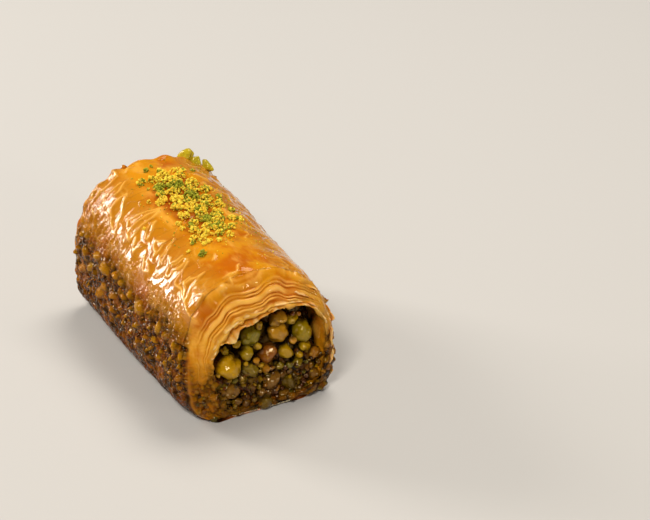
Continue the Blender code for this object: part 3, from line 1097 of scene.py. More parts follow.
def make_skin(settings, relief):
    """The whole wrap as one closed sheet: skin, back end, bore and front end, row after row.

    Each row runs once round the roll, and the last one meets the first. The bare rows are worked
    out first, and then every point moves along the sheet's normal by the relief of its place.
    """
    girth = skin_girths()
    angle = angle_at(girth)
    front_start = rim_y(angle, 0.0, -1) + CORNER + 0.2 * MM * ripples(21, 5 * MM, girth, 0 * girth)
    back_start = rim_y(angle, 0.0, 1) - CORNER + 0.3 * MM * ripples(22, 4 * MM, girth, 0 * girth)
    y = mix(front_start, back_start, np.linspace(0, 1, SKIN_ROWS)[:, None])
    skin, _ = bare_skin(girth + 0 * y, y)
    front, front_depth = end_rows(angle, -1, FRONT_ROWS)
    back, back_depth = end_rows(angle, 1, BACK_ROWS)
    bore = wall(angle, 1.0, np.zeros_like(angle))[None]
    height, masks = relief.at(girth + 0 * y, y)
    count = settings.leaf_count
    for end, start in ((-1, front_start), (1, back_start)):
        past = np.maximum(end * (start - y), 0.0)
        fade = step(EDGES_REACH, 0.0, past) * step(0.2, 0.8, np.sin(angle))
        more, marks = end_relief(settings, skin, angle, girth, 0 * y, count + past / LEAF_PITCH, end)
        height = height + more * fade
        # Painted shade between the leaf edges that show on the skin close to an end
        masks["valley"] = masks.get("valley", 0) + 0.6 * marks["valley"] * fade
    heights, all_masks = [height], [masks]
    for end, flat, depth, row in ((1, back, back_depth, -1), (-1, front, front_depth, 0)):
        more, marks = end_relief(settings, flat, angle, girth, depth, count * (1 - depth), end)
        keep = step(RIM_SHARE, 0.0, depth)
        heights.append(mix(more, height[row], keep))
        all_masks.append(end_masks(marks, masks, row, keep, flat, girth, end))
    (back_bore, fading), (front_bore, _) = bore_rows(angle, 1), bore_rows(angle, -1)

    def joined(on_skin, on_back, on_front):
        """Rows in the sheet's order: skin, back end, bore from back to front, front end."""
        into_back, into_front = fading * on_back[-1], (fading * on_front[-1])[::-1]
        middle = 0 * fading[:1] * on_back[-1:]
        return np.concatenate([on_skin, on_back, into_back, middle, into_front, on_front[::-1]])

    grid = np.concatenate([skin, back, back_bore, bore, front_bore[::-1], front[::-1]])
    rise = joined(*heights)
    wet = step(12 * MM, 7 * MM, grid[..., 2]) * step(0.1 * MM, 1.2 * MM, grid[..., 2])
    across, up = grid[..., 0] + 0.8 * grid[..., 1], grid[..., 2] - 0.5 * grid[..., 1]
    rise = rise + 0.16 * MM * wet * ripples(29, 1.7 * MM, across, up)
    normal = grid_normals(grid)
    outward = np.sign((normal[:SKIN_ROWS] * (skin - [0, 0, HEIGHT / 2])).sum())
    points = grid + normal * (outward * rise)[..., None]
    filled = {}
    for name in sorted(set(all_masks[0]) | set(all_masks[1])):
        parts = [part.get(name, 0.0) + np.zeros(shape.shape[:2])
                 for part, shape in zip(all_masks, (skin, back, front))]
        filled[name] = joined(*parts)
    quads = grid_quads(len(points), len(girth), rows_meet=True)
    return build("phyllo_skin", points, [quads], "phyllo", phyllo_paint(settings), filled)


# Thin loose leaves at an end: depth in the wall, first and last angle in degrees from the right,
# how ragged the edge is, how far it hangs into the opening in mm
THIN_LEAVES = (
    (0.97, 8, 176, 0.9, 1.5),
    (0.86, 25, 165, 0.5, 0.25),
    (0.6, -30, 60, 1.0, 0.0),
    (0.2, -30, 52, 1.2, 0.0),
)

# Section of a loose leaf: share of its reach behind the tip, and share of its half thickness
LEAF_SECTION = (
    (1.0, 1.0), (0.5, 1.0), (0.25, 1.0), (0.12, 1.0), (0.05, 1.0), (0.012, 0.8), (0.0, 0.0),
    (0.012, -0.8), (0.05, -1.0), (0.12, -1.0), (0.25, -1.0), (0.5, -1.0), (1.0, -1.0),
)
LEAF_REACH = 4.0 * MM
LEAF_COLUMNS = 330


def leaf_band(settings, leaf, end, seed):
    """One thin loose leaf: a closed band whose tip waves in and out.

    Its section is a flat loop with a round tip. The tip's place along the roll and its distance
    from the axis are sums of waves round the roll. Outside its range of angles it draws back
    into the wall.
    """
    depth, first, last, ragged, hang = leaf
    angle = np.arange(LEAF_COLUMNS) * TURN / LEAF_COLUMNS - math.pi / 2
    degrees = np.degrees(angle)
    girth = np.interp(angle, TABLE_ANGLE, TABLE_GIRTH)
    shown = step(first - 14, first + 10, degrees) * step(last + 14, last - 10, degrees)
    slow = ripples(seed, 7 * MM, girth, 0 * girth)
    quick = ripples(seed + 1, 2.4 * MM, girth, 0 * girth)
    fine = ripples(seed + 2, 1.0 * MM, girth, 0 * girth)
    out = MM * (0.35 + ragged * (0.35 * slow + 0.25 * quick + 0.07 * fine))
    tip_y = rim_y(angle, depth, end) + end * mix(-2.5 * MM, out, shown)
    drop = hang * MM * step(72, 100, degrees) * step(165, 140, degrees) * (1 + 0.5 * slow) * shown
    flare = MM * ragged * (0.22 * slow + 0.2 * quick) * shown - drop
    half = settings.lip_thickness / 2 * (1 + 0.3 * fine)
    rings = []
    for behind, side in LEAF_SECTION:
        ring = end_wall(angle, depth, tip_y - end * behind * LEAF_REACH, end)
        tangent = np.roll(ring, -1, axis=0) - np.roll(ring, 1, axis=0)
        normal = unit(np.stack([tangent[:, 2], 0 * angle, -tangent[:, 0]], -1))
        ring = ring + normal * (half * side + flare * (1 - behind) ** 1.5)[:, None]
        ring[:, 2] = np.maximum(ring[:, 2], 0.05 * MM)
        rings.append(ring)
    near_tip = np.array([(1 - behind) ** 3 for behind, _ in LEAF_SECTION])[:, None]
    return np.array(rings), near_tip * (0.55 + 0.45 * np.clip(slow + quick, -1, 1))


def make_leaves(settings, end, name, seed):
    """The thin loose leaves of one end as one mesh of closed bands."""
    bands = [leaf_band(settings, leaf, end, seed + 5 * index) for index, leaf in enumerate(THIN_LEAVES)]
    rings, columns = bands[0][0].shape[:2]
    quads = repeated(grid_quads(rings, columns, rows_meet=True), len(bands), rings * columns)
    points = np.array([points for points, _ in bands])
    masks = {"edge": np.array([edge for _, edge in bands])}
    build(name, points, [quads], "phyllo", leaf_paint(), masks)


# How far the filling's mass stays behind the roll's end: low down, and high up at each end
LOW_RECESS = 1.3 * MM
FRONT_RECESS = 5.2 * MM
BACK_RECESS = 3.4 * MM
CORE_FIT = 0.99            # size of the core, as a share of the bore


def recess(z, end):
    """How far the filling's mass stays behind the roll's end, at a height: more at the top."""
    deepest = FRONT_RECESS if end < 0 else BACK_RECESS
    return mix(LOW_RECESS, deepest, step(5 * MM, 14 * MM, z))


def make_core(pistachio, syrup):
    """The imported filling: a bar out to the bore, its end faces set with crushed nuts in syrup.

    Rings of the bore's shape shrink to a pole in the middle of each end face. The faces stand out
    by ellipsoid caps for the grains.
    """
    columns, face_rows = 320, 64
    angle = np.arange(columns) * TURN / columns
    shrink = np.linspace(0.02, 1, face_rows)
    sizes = np.concatenate([shrink, [1.0] * 3, shrink[::-1]])[:, None]
    ends = np.concatenate([np.full(face_rows + 1, -1.0), [0.0], np.full(face_rows + 1, 1.0)])[:, None]
    on_face = np.concatenate([np.ones(face_rows), [0.0] * 3, np.ones(face_rows)])[:, None]
    ring = wall(angle, 1.0, np.zeros_like(angle))
    x = CORE_FIT * ring[:, 0] * sizes
    z = AXIS_LEVEL + CORE_FIT * (ring[:, 2] - AXIS_LEVEL) * sizes
    cap, tone = bumps(scattered_grains(31, **CORE_GRAINS), x * np.where(ends < 0, 1, -1), z)
    bumpy = 0.6 * MM * cap + 0.35 * MM * ripples(32, 4 * MM, x, z)
    behind = np.where(ends < 0, recess(z, -1), recess(z, 1))
    y = ends * (LENGTH / 2 - behind + (bumpy - 0.4 * MM) * on_face)
    points = np.stack([x, y, z], -1)
    poles = np.array([points[0].mean(0), points[-1].mean(0)])
    faces = [grid_quads(len(sizes), columns), pole_fans(len(sizes), columns)]
    # Painted shade: nuts show dim high in the end, where the core lies deepest
    lower = step(13 * MM, 7 * MM, z)
    masks = {
        "nut": np.append(step(0.2, 0.8, cap) * on_face * mix(0.25, 1.0, lower), [0, 0]),
        "tone": np.append(tone, [0.5, 0.5]),
    }
    points = np.concatenate([points.reshape(-1, 3), poles])
    paint = core_paint(pistachio, syrup)
    return build("filling_core", points, faces, "pistachio_filling", paint, masks)


# Nuts of the front end, listed: x, z and radius, tone, and how far behind the roll's end their
# front is, in mm
FRONT_NUTS = (
    (-5.6, 9.7, 2.35, 0.05, 0.6),
    (-1.0, 14.3, 2.0, 0.3, 1.6),
    (-3.8, 13.6, 1.0, 0.12, 1.9),
    (0.5, 15.9, 0.9, 0.12, 1.9),
    (4.6, 16.2, 1.7, 0.52, 1.8),
    (4.3, 13.5, 2.15, 0.58, 1.1),
    (7.3, 15.3, 1.3, 0.12, 2.4),
    (9.1, 12.6, 2.15, 0.22, 1.2),
    (-2.1, 11.5, 1.6, 0.18, 1.0),
    (2.4, 9.7, 2.0, 0.95, 1.2),
    (5.7, 9.7, 1.5, 0.08, 0.9),
    (-1.5, 7.6, 1.8, 0.35, 1.3),
    (2.4, 5.0, 1.75, 0.66, 0.7),
    (6.1, 3.8, 1.85, 0.42, 0.5),
    (-5.5, 4.9, 1.6, 0.62, 0.7),
    (0.7, 1.3, 1.4, 0.45, 0.2),
    (9.3, 9.7, 1.2, 0.15, 1.2),
    (11.2, 7.9, 1.3, 0.8, 1.4),
    (10.7, 4.1, 1.4, 0.68, 0.9),
    (6.9, 11.5, 0.9, 0.6, 1.3),
    (0.0, 12.3, 0.8, 0.12, 1.4),
    (-6.1, 12.8, 0.95, 0.2, 2.0),
    (7.6, 6.9, 1.3, 0.2, 1.1),
    (-8.3, 6.9, 1.0, 0.95, 1.8),
    (-1.8, 4.3, 1.2, 0.85, 1.0),
    (4.4, 1.7, 1.1, 0.7, 0.5),
    (7.8, 1.5, 1.0, 0.6, 0.5),
    (-2.9, 1.9, 1.1, 0.9, 0.5),
    (1.2, 7.7, 0.9, 0.62, 0.9),
    (0.1, 3.3, 0.8, 0.7, 0.6),
    (4.1, 7.5, 0.8, 0.2, 1.0),
    (-4.5, 2.8, 0.9, 0.7, 0.5),
)


def reach_from_axis(angle, depth):
    """Distance from the roll's axis to a depth in the wrap, at angles seen from the axis."""
    ring = wall(np.linspace(0, TURN, 361), depth, -LENGTH / 2)
    seen = np.arctan2(ring[:, 2] - AXIS_LEVEL, ring[:, 0])
    order = np.argsort(seen)
    reach = np.hypot(ring[:, 0], ring[:, 2] - AXIS_LEVEL)
    return np.interp(angle, seen[order], reach[order])


PLACING_TRIES = 6000
NUT_OVERLAP = 0.82         # closest two nuts come, as a share of their radii together
SPILL_LEVEL = 8 * MM       # below it nuts cover the wrap's end wall too


def packed_places(rng, taken, count, smallest, largest, spill=False):
    """Seeded places on an end face, each clear of those taken: x, z and radius in rows.

    They lie within the bore or, low down and if they may spill, over the wrap's end wall too. The
    radii are drawn between two sizes in mm.
    """
    tries = PLACING_TRIES
    rows = [tuple(row) for row in taken]
    found = []
    x_all, z_all = rng.uniform(-15, 15, tries) * MM, rng.uniform(0.5, 21, tries) * MM
    radii = rng.uniform(smallest, largest, tries) * MM
    seen = np.arctan2(z_all - AXIS_LEVEL, x_all)
    away = np.hypot(x_all, z_all - AXIS_LEVEL)
    room = reach_from_axis(seen, 1.0) - away - 0.7 * radii
    if spill:
        room = np.where(z_all < SPILL_LEVEL, reach_from_axis(seen, 0.0) - away - radii, room)
    for x, z, radius in np.stack([x_all, z_all, radii], -1)[room > 0]:
        known = np.array(rows) if rows else np.zeros((0, 3))
        gaps = np.hypot(x - known[:, 0], z - known[:, 1]) / (radius + known[:, 2])
        if not rows or gaps.min() > NUT_OVERLAP:
            rows.append((x, z, radius))
            found.append((x, z, radius))
        if len(found) == count:
            break
    return found


LAYER_NUTS = 34            # large nuts of the front end's second layer, and of the back end
SECOND_LAYER = 3.8 * MM
SMALL_NUT_SIZES = (0.45, 0.9)


def nut_rows(settings):
    """All nuts of both ends: x, z, radius, tone, end, depth of their front, and their painted shade.

    The front end's largest are listed, small ones fill between them, and a second layer stands
    behind in the shade. Those low in the front end stand a little further out.
    """
    rng = np.random.default_rng(41)
    rows = []
    for x, z, radius, tone, front in FRONT_NUTS:
        sunk = front - 0.3 if z < 8 else front
        rows.append((x * MM, z * MM, radius * MM, tone, -1, sunk * MM, 0.0))
    tones = (0.05, 0.12, 0.3, 0.5, 0.65, 0.8, 1.0)
    by_hand = [row[:3] for row in rows]
    for x, z, radius in packed_places(rng, by_hand, settings.small_nuts, *SMALL_NUT_SIZES, True):
        if z < 10 * MM or rng.uniform() < 0.3:
            rows.append((x, z, radius, rng.choice(tones), -1, mix(0.3, 1.8, z / (20 * MM)) * MM, 0.1))
    for x, z, radius in packed_places(rng, [], LAYER_NUTS, 1.2, 2.0):
        rows.append((x, z, radius, rng.choice(tones), -1, SECOND_LAYER, 0.9))
    back = packed_places(rng, [], LAYER_NUTS, 1.1, 2.2)
    for x, z, radius in back:
        rows.append((x, z, radius, rng.choice(tones), 1, rng.uniform(0.4, 1.6) * MM, 0.0))
    for x, z, radius in packed_places(rng, back, settings.small_nuts, *SMALL_NUT_SIZES):
        rows.append((x, z, radius, rng.choice(tones), 1, rng.uniform(0.5, 1.6) * MM, 0.1))
    return np.array(rows)


LARGE_NUT = 0.92 * MM      # radius past which a piece of nut is made with more points


def make_nuts(settings):
    """The pieces of pistachio at both ends, half sunk in the core: large ones, then small ones.

    Each is a lumpy blob. Painted shade darkens it towards its back, on its underside, in the
    second layer, and low down in the end, where it is also soaked in syrup.
    """
    rows = nut_rows(settings)
    large = rows[:, 2] > LARGE_NUT
    for name, chosen, rings, spokes, seed in (
        ("pistachio_nuts", rows[large], 22, 30, 42),
        ("pistachio_bits", rows[~large], 10, 16, 44),
    ):
        x, z, radius, tone, end, front, shade = chosen.T
        centres = np.stack([x, end * (LENGTH / 2 - front - 0.85 * radius), z], -1)
        points, faces, hollow = blobs(seed, centres, radius, rings, spokes, lobes=0.12, cuts=1,
                                      lobe_waves=3.1, squash=(0.76, 1.1))
        points[..., 2] = np.maximum(points[..., 2], 0.1 * MM)
        # Nuts low in the end darker: soaked in syrup, and painted shade
        shade = np.maximum(shade, 0.72 * step(9.5 * MM, 5.5 * MM, z))
        # Painted shade on each nut's underside and towards its back
        under = step(0.15, -0.9, (points[..., 2] - z[:, None]) / radius[:, None])
        behind = 1 - end[:, None] * (points[..., 1] - centres[:, 1:2]) / radius[:, None]
        spread = np.random.default_rng(seed + 1).normal(0, 0.03, len(radius))
        each = np.ones_like(hollow)
        masks = {
            "tone": np.clip(tone + spread, 0, 1)[:, None] * each,
            "hollow": hollow,
            "deep": 1 - (1 - shade[:, None]) * (1 - 0.85 * step(0.35, 1.05, behind)) * (1 - 0.55 * under),
        }
        build(name, points, faces, "pistachio_filling", nut_paint(settings, name), masks)


def make_grains(settings):
    """Crushed grains between the nuts, thickest in the lower half of each end.

    Each is a small lumpy blob. Close to the wrap's round corner its front stays further behind, by
    a quarter ellipse.
    """
    rng = np.random.default_rng(51)
    rows = []
    for end in (-1, 1):
        for x, z, radius in packed_places(rng, [], settings.grains, 0.25, 0.65, True):
            if rng.uniform() < mix(1.0, 0.08, float(step(5 * MM, 12 * MM, z))):
                front = rng.uniform(0.2, 1.5) * MM + 0.6 * (recess(z, end) - LOW_RECESS)
                rows.append((x, z, radius, rng.choice((0.0, 0.1, 0.5, 0.8, 0.9, 1.0)), end, front))
    x, z, radius, tone, end, front = np.array(rows).T
    from_axis = z - AXIS_LEVEL
    inside = reach_from_axis(np.arctan2(from_axis, x), 0.0) - np.hypot(x, from_axis)
    short = np.clip(1 - inside / (1.6 * CORNER), 0, 1)
    front = front + 1.2 * CORNER * (1 - np.sqrt(1 - short ** 2))
    centres = np.stack([x, end * (LENGTH / 2 - front - radius), z], -1)
    points, faces, hollow = blobs(52, centres, radius, 6, 9, lobes=0.2, squash=(0.7, 1.2))
    points[..., 2] = np.maximum(points[..., 2], 0.1 * MM)
    each = np.ones_like(hollow)
    # Painted shade: each grain darkened by a random share
    deep = np.random.default_rng(53).choice((0.3, 0.7, 0.85, 0.95), (len(radius), 1))
    masks = {"tone": tone[:, None] * each, "hollow": hollow, "deep": deep * each}
    paint = nut_paint(settings, "crushed_grains", specular=0.8, facet_scale=2100, facet_tilt=1.2)
    build("pistachio_grains", points, faces, "pistachio_filling", paint, masks)


# Clumps of crumbs, listed: girth and y in mm, radius in mm, and how green they are
MAIN_CLUMPS = (
    (0.3, 15.2, 1.1, 0.1), (2.6, 14.6, 1.0, 0.3), (4.6, 15.4, 0.8, 0.6), (-2.2, 13.6, 1.0, 0.1),
    (0.2, 12.6, 1.3, 0.2), (2.7, 11.8, 1.1, 0.8), (-0.3, 10.8, 1.3, 0.9), (-3.2, 10.6, 1.2, 0.2),
    (3.4, 9.8, 0.9, 0.4), (1.0, 9.0, 1.1, 0.2), (-2.0, 8.3, 1.2, 0.3), (-4.9, 8.6, 0.9, 0.4),
    (4.4, 7.6, 0.9, 0.0), (-1.2, 6.2, 1.5, 0.9), (1.8, 6.6, 1.0, 0.1), (-3.8, 5.4, 1.1, 0.3),
    (2.6, 4.2, 1.0, 0.2), (0.2, 3.0, 1.3, 0.0), (-2.4, 2.8, 1.1, 0.2), (-5.2, 3.0, 1.0, 0.3),
    (2.6, 1.0, 1.0, 0.0), (-0.5, 0.2, 1.2, 0.3), (-0.6, -1.4, 1.1, 0.9), (-3.6, 0.2, 1.0, 0.2),
    (1.9, -1.4, 0.9, 0.1), (-2.4, -2.4, 1.2, 0.2), (2.9, -3.8, 0.9, 0.2), (0.3, -3.8, 1.0, 0.1),
    (-1.4, -5.0, 1.3, 0.3), (1.9, -5.6, 1.1, 0.1), (-3.6, -5.6, 0.8, 0.3), (4.0, -6.0, 0.8, 0.1),
    (-0.5, -7.2, 0.9, 0.1), (3.0, -7.6, 0.7, 0.0), (-2.2, -8.0, 0.7, 0.0), (0.6, -9.4, 0.5, 0.0),
    (-6.6, 6.0, 0.7, 0.9), (-7.0, 1.4, 0.6, 0.9), (-6.2, -2.0, 0.6, 0.9), (5.0, -11.5, 0.75, 1.0),
    (1.0, 19.8, 0.4, 1.0), (2.4, 18.6, 0.45, 1.0),
)


def clump_rows(settings):
    """Listed clumps, then seeded ones spread round them: girth, y, radius and greenness."""
    rng = np.random.default_rng(61)
    rows = [(g * MM, y * MM, r * MM, green) for g, y, r, green in MAIN_CLUMPS]
    while len(rows) < settings.clumps:
        girth, y = rng.normal(-0.4, 3.0) * MM, rng.uniform(-9, 17) * MM
        rows.append((girth, y, rng.uniform(0.25, 0.7) * MM, rng.choice((0.0, 0.1, 0.3, 0.8))))
    return rows


STRAY_CRUMBS = 420


def granule_rows(settings):
    """Granules of all clumps and the flecks strewn around: girth, y, lift, radius, greenness.

    A clump's granules fill a low dome: the lift is the root of what is left of its radius.
    """
    rng = np.random.default_rng(62)
    rows = []
    for girth, y, radius, green in clump_rows(settings):
        for _ in range(int(60 * (radius / MM) ** 2) + 3):
            away, turn = radius * math.sqrt(rng.uniform()), rng.uniform(0, TURN)
            dome = math.sqrt(max(radius ** 2 - away ** 2, 0.0))
            grain = settings.granule * rng.lognormal(0, 0.28)
            lift = dome * rng.uniform(0.2, 1.0) + 0.3 * grain
            place = (girth + away * math.cos(turn), y + away * math.sin(turn))
            rows.append((*place, lift, grain, rng.uniform() < green))
    for _ in range(STRAY_CRUMBS):
        girth, y = rng.normal(-1.2, 4.6) * MM, rng.normal(4, 9.5) * MM
        if abs(y) > 23 * MM:
            continue
        grain = settings.granule * rng.uniform(0.3, 0.9)
        rows.append((girth, y, 0.4 * grain, grain, rng.uniform() < 0.6))
    return np.array(rows, float)


def make_crumbs(settings, relief):
    """Light and dark crumbs, one piece each, standing on the crown's relief: tiny lumpy blobs."""
    rows = granule_rows(settings)
    for name, green, shade, other in (
        ("crumbs_light", 0, settings.yellow, TOASTED_CRUMB),
        ("crumbs_green", 1, settings.green, SKIN_CRUMB),
    ):
        girth, y, lift, grain, _ = rows[rows[:, 4] == green].T
        centres = relief.place(girth, y, lift)
        points, faces, hollow = blobs(63 + green, centres, grain, 3, 6, lobes=0.22, lobe_waves=3.5,
                                      squash=(0.7, 1.15))
        tone = np.random.default_rng(65 + green).uniform(0, 1, len(grain))[:, None] + 0 * hollow
        paint = crumb_paint(name, shade, other)
        build(name, points, faces, "pistachio_crumb", paint, {"tone": tone, "hollow": hollow})


# Broken nuts on top: girth and y in mm, radius in mm, tone
LOOSE_NUTS = (
    (-8.2, 24.2, 1.8, 0.02),
    (-9.9, 23.0, 1.5, 0.1),
    (-11.6, 21.4, 1.3, 0.05),
)


def make_loose_nuts(settings, relief):
    """A few broken pieces of nut that lie on the crown: blobs cut by eight planes each."""
    girth, y, radius, tone = (np.array(LOOSE_NUTS) * (MM, MM, MM, 1.0)).T
    centres = relief.place(girth, y, 0.05 * radius)
    points, faces, hollow = blobs(74, centres, 1.08 * radius, 24, 32, lobes=0.08, cuts=8,
                                  cut_reach=(0.3, 0.75), squash=(0.55, 1.3), sharp=40.0)
    each = np.ones_like(hollow)
    masks = {"tone": tone[:, None] * each, "hollow": hollow, "deep": 0 * each, "fresh": each}
    paint = nut_paint(settings, "broken_pistachio", some_fresh=True)
    build("broken_pistachios", points, faces, "pistachio_filling", paint, masks)


def make_beads(settings, relief):
    """Tiny drops of syrup on the lower flanks: nearly round blobs, half sunk in the skin."""
    rng = np.random.default_rng(81)
    count = settings.beads
    girth = rng.triangular(14, 24, 32, count) * MM * rng.choice((-1, 1), count)
    y = rng.uniform(-22.5, 23.5, count) * MM
    radius = rng.uniform(0.06, 0.16, count) * MM
    centres = relief.place(girth, y, 0.1 * radius)
    points, faces, _ = blobs(82, centres, radius, 3, 6, lobes=0.0, squash=(0.9, 1.1))
    paint = syrup_paint("syrup_drops", SYRUP_DROP, settings.amber)
    build("syrup_beads", points, faces, "syrup", paint)


# Section of the syrup round the base: how far out from the skin, as a share of its reach or, inside
# the skin, in half mm, and how high, as a share of its height
FOOT_SECTION = (
    (-3.0, 0.0), (1.0, 0.0), (0.97, 0.12), (0.75, 0.17), (0.45, 0.3), (0.2, 0.55), (0.0, 1.0),
    (-1.0, 1.3), (-3.0, 1.3),
)


def make_foot(settings):
    """The syrup that has run out round the base: a low hollow slope against the skin.

    The base's outline is followed once round: a rounded rectangle as wide as the skin close to the
    floor. Its profile rises from a thin toe, in a hollow curve, to the height where it meets the
    skin; the toe's reach waves slowly.
    """
    columns = 400
    turn = np.arange(columns) * TURN / columns
    power = 2 / 7
    half_y = LENGTH / 2 - 0.6 * MM
    along = half_y * signed_power(np.sin(turn), power)
    low = math.radians(56)
    side = np.where(np.cos(turn) > 0, -low, -math.pi + low)
    half_x = np.abs(wall(side, 0.0, along)[:, 0]) - 0.1 * MM
    across = half_x * signed_power(np.cos(turn), power)
    run = turn * 25 * MM / math.pi
    reach = settings.foot_reach * np.maximum(1 + 0.8 * ripples(91, 7 * MM, 2 * run, 0 * run), 0.1)
    rings = []
    for out, up in FOOT_SECTION:
        away = np.where(out > 0, reach * out, 0.5 * MM * out)
        x, y = across * (1 + away / half_x), along * (1 + away / half_y)
        z = 0.02 * MM + up * settings.foot_height + 0 * run
        rings.append(np.stack([x, y, z], -1))
    quads = grid_quads(len(rings), columns, rows_meet=True)
    paint = syrup_paint("amber_syrup", settings.amber, settings.dark)
    build("syrup_foot", np.array(rings), [quads], "syrup", paint)


# ---------------------------------------------------------------------------------------------
# Stage

CAMERA_TARGET = (0.0, 0.0, 14.2 * MM)
CAMERA_DISTANCE = 402.8 * MM
CAMERA_SIDE = math.radians(-23.987)
CAMERA_RISE = math.radians(29.658)
CAMERA_TURN = math.radians(-3.687)     # turned aside, so that the roll stands left of the middle
CAMERA_TILT = math.radians(-0.444)
CAMERA_LENS = 121.85

LAMP_COLOUR = (1.0, 0.95, 0.87)
SKY_COLOUR = (1.0, 0.985, 0.96, 1.0)
FLOOR_CLOUDS = srgb(190, 188, 186)
FLOOR_DROP = 0.02 * MM     # how far the floor stays below the underside

# Soft boxes: direction from the roll's middle, distance, width and height in metres, and setting
LAMPS = {
    "key_box": ((-0.50, 0.78, 0.38), 0.6, 0.18, 0.13, "key_power"),
    "top_box": ((0.375, 0.254, 0.883), 0.6, 0.35, 0.25, "top_power"),
    "fill_box": ((-0.3, -0.8, 0.5), 1.0, 0.7, 0.7, "fill_power"),
    "glint_box": ((-0.45, -0.5, 0.75), 0.8, 0.2, 0.12, "glint_power"),
    "low_box": ((-0.58, 0.79, 0.16), 0.6, 0.09, 0.06, "sparkle_power"),
    "front_box": ((0.35, -0.93, 0.17), 0.6, 0.08, 0.06, "sparkle_power"),
}


def backwards(side, rise):
    """Unit vector from a target to a viewer at an azimuth from -Y and a rise above the horizon."""
    flat = math.cos(rise)
    return np.array([math.sin(side) * flat, -math.cos(side) * flat, math.sin(rise)])


def make_camera():
    """A long lens that looks down on the front end and the left flank."""
    data = bpy.data.cameras.new("camera")
    data.lens = CAMERA_LENS
    data.clip_start = 0.01
    camera = bpy.data.objects.new("camera", data)
    camera.location = np.array(CAMERA_TARGET) + CAMERA_DISTANCE * backwards(CAMERA_SIDE, CAMERA_RISE)
    camera.rotation_euler = (math.pi / 2 - CAMERA_RISE - CAMERA_TILT, 0.0, CAMERA_SIDE + CAMERA_TURN)
    bpy.context.scene.collection.objects.link(camera)
    bpy.context.scene.camera = camera


def make_lamp(name, direction, distance, width, height, power):
    """A rectangular, slightly warm soft box at a distance from the roll's middle, facing it."""
    data = bpy.data.lights.new(name, "AREA")
    data.color = LAMP_COLOUR
    data.shape = "RECTANGLE"
    data.size = width
    data.size_y = height
    data.energy = power
    lamp = bpy.data.objects.new(name, data)
    way = unit(np.array(direction, float))
    lamp.location = np.array(CAMERA_TARGET) + distance * way
    flat = math.hypot(way[0], way[1])
    lamp.rotation_euler = (math.atan2(flat, way[2]), 0.0, math.atan2(way[0], -way[1]))
    bpy.context.scene.collection.objects.link(lamp)


def make_floor(settings):
    """A wide disc, as rings round its middle."""
    columns = 64
    turn = np.arange(columns) * TURN / columns
    radii = np.array([0.05, 0.2, 0.8, 3.0, 8.0])
    x, y = radii[:, None] * np.cos(turn), radii[:, None] * np.sin(turn)
    rings = np.stack([x, y, 0 * x], -1)
    first = np.arange(columns)
    points = np.concatenate([rings.reshape(-1, 3), [[0, 0, 0]]])
    points[:, 2] -= FLOOR_DROP
    middle = np.stack([(first + 1) % columns, first, np.full(columns, len(points) - 1)], -1)[:, ::-1]
    faces = [grid_quads(len(radii), columns)[:, ::-1], middle]
    paint = Paint("pale_floor")
    cloudy = paint.noise(3.0, 2.0)
    shade = paint.blend(cloudy * 0.3, settings.floor, FLOOR_CLOUDS)
    material = paint.finish(base_color=shade, roughness=0.55 + 0.1 * cloudy)
    mesh_floor = build("pale_floor", points, faces, None, material)


def make_world(strength):
    """An even, slightly warm light from all round."""
    world = bpy.data.worlds.new("soft_studio")
    world.use_nodes = True
    background = world.node_tree.nodes["Background"]
    background.inputs["Color"].default_value = SKY_COLOUR
    background.inputs["Strength"].default_value = strength
    bpy.context.scene.world = world


# ---------------------------------------------------------------------------------------------
# Operators and panel


class BAKLAVA_OT_wrap(bpy.types.Operator):
    """Build the glazed skin and the leaf edges at both ends"""

    bl_idname = "baklava.wrap"
    bl_label = "Phyllo Wrap"

    def execute(self, context):
        settings = context.scene.baklava_phyllo
        skin = make_skin(settings, SkinRelief(settings))
        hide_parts("phyllo_wrap")
        make_leaves(settings, -1, "front_leaves", 24)
        make_leaves(settings, 1, "back_leaves", 27)
        return {"FINISHED"}


class BAKLAVA_OT_filling(bpy.types.Operator):
    """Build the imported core, the nuts and the crushed grains"""

    bl_idname = "baklava.filling"
    bl_label = "Pistachio Filling"

    def execute(self, context):
        pistachio = context.scene.baklava_pistachio
        core = make_core(pistachio, context.scene.baklava_syrup)
        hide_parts("pistachio_filling")
        make_nuts(pistachio)
        make_grains(pistachio)
        return {"FINISHED"}


class BAKLAVA_OT_topping(bpy.types.Operator):
    """Strew crumbs and broken nuts on the crown"""

    bl_idname = "baklava.topping"
    bl_label = "Crumb Topping"

    def execute(self, context):
        relief = SkinRelief(context.scene.baklava_phyllo)
        make_crumbs(context.scene.baklava_crumb, relief)
        make_loose_nuts(context.scene.baklava_pistachio, relief)
        return {"FINISHED"}


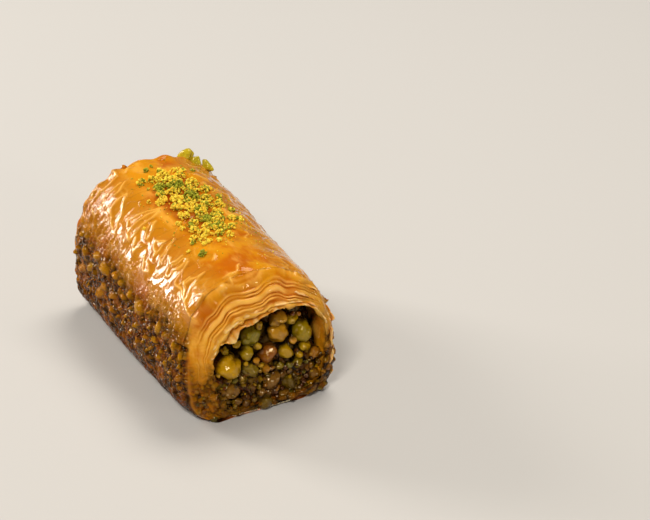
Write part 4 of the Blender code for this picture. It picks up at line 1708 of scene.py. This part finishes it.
class BAKLAVA_OT_syrup(bpy.types.Operator):
    """Add the drops on the flanks and the syrup round the base"""

    bl_idname = "baklava.syrup"
    bl_label = "Syrup"

    def execute(self, context):
        settings = context.scene.baklava_syrup
        make_beads(settings, SkinRelief(context.scene.baklava_phyllo))
        make_foot(settings)
        return {"FINISHED"}


class BAKLAVA_OT_stage(bpy.types.Operator):
    """Set up the floor, the lamps and the camera"""

    bl_idname = "baklava.stage"
    bl_label = "Stage"

    def execute(self, context):
        settings = context.scene.baklava_stage
        make_floor(settings)
        make_world(settings.sky)
        for name, (direction, distance, width, height, setting) in LAMPS.items():
            make_lamp(name, direction, distance, width, height, getattr(settings, setting))
        make_camera()
        context.scene.view_settings.view_transform = "Standard"
        return {"FINISHED"}


OPERATORS = (BAKLAVA_OT_wrap, BAKLAVA_OT_filling, BAKLAVA_OT_topping, BAKLAVA_OT_syrup, BAKLAVA_OT_stage)
GROUPS = {
    "baklava_phyllo": PhylloSettings,
    "baklava_pistachio": PistachioSettings,
    "baklava_crumb": CrumbSettings,
    "baklava_syrup": SyrupSettings,
    "baklava_stage": StageSettings,
}


class BAKLAVA_PT_sidebar(bpy.types.Panel):
    """Lists the pieces of the roll and their settings"""

    bl_idname = "BAKLAVA_PT_sidebar"
    bl_label = "Rolled Baklava"
    bl_space_type = "VIEW_3D"
    bl_region_type = "UI"
    bl_category = "Baklava"

    def draw(self, context):
        for operator in OPERATORS:
            self.layout.operator(operator.bl_idname)
        for name in GROUPS:
            box = self.layout.box()
            settings = getattr(context.scene, name)
            for key in settings.__annotations__:
                box.prop(settings, key)


def register():
    for group in (*GROUPS.values(), *OPERATORS, BAKLAVA_PT_sidebar):
        bpy.utils.register_class(group)
    for name, group in GROUPS.items():
        setattr(bpy.types.Scene, name, PointerProperty(type=group))


def unregister():
    for name in GROUPS:
        delattr(bpy.types.Scene, name)
    for group in (BAKLAVA_PT_sidebar, *reversed(OPERATORS), *GROUPS.values()):
        bpy.utils.unregister_class(group)


def main():
    register()
    bpy.ops.baklava.wrap()
    bpy.ops.baklava.filling()
    bpy.ops.baklava.topping()
    bpy.ops.baklava.syrup()
    bpy.ops.baklava.stage()


if __name__ == "__main__":
    main()
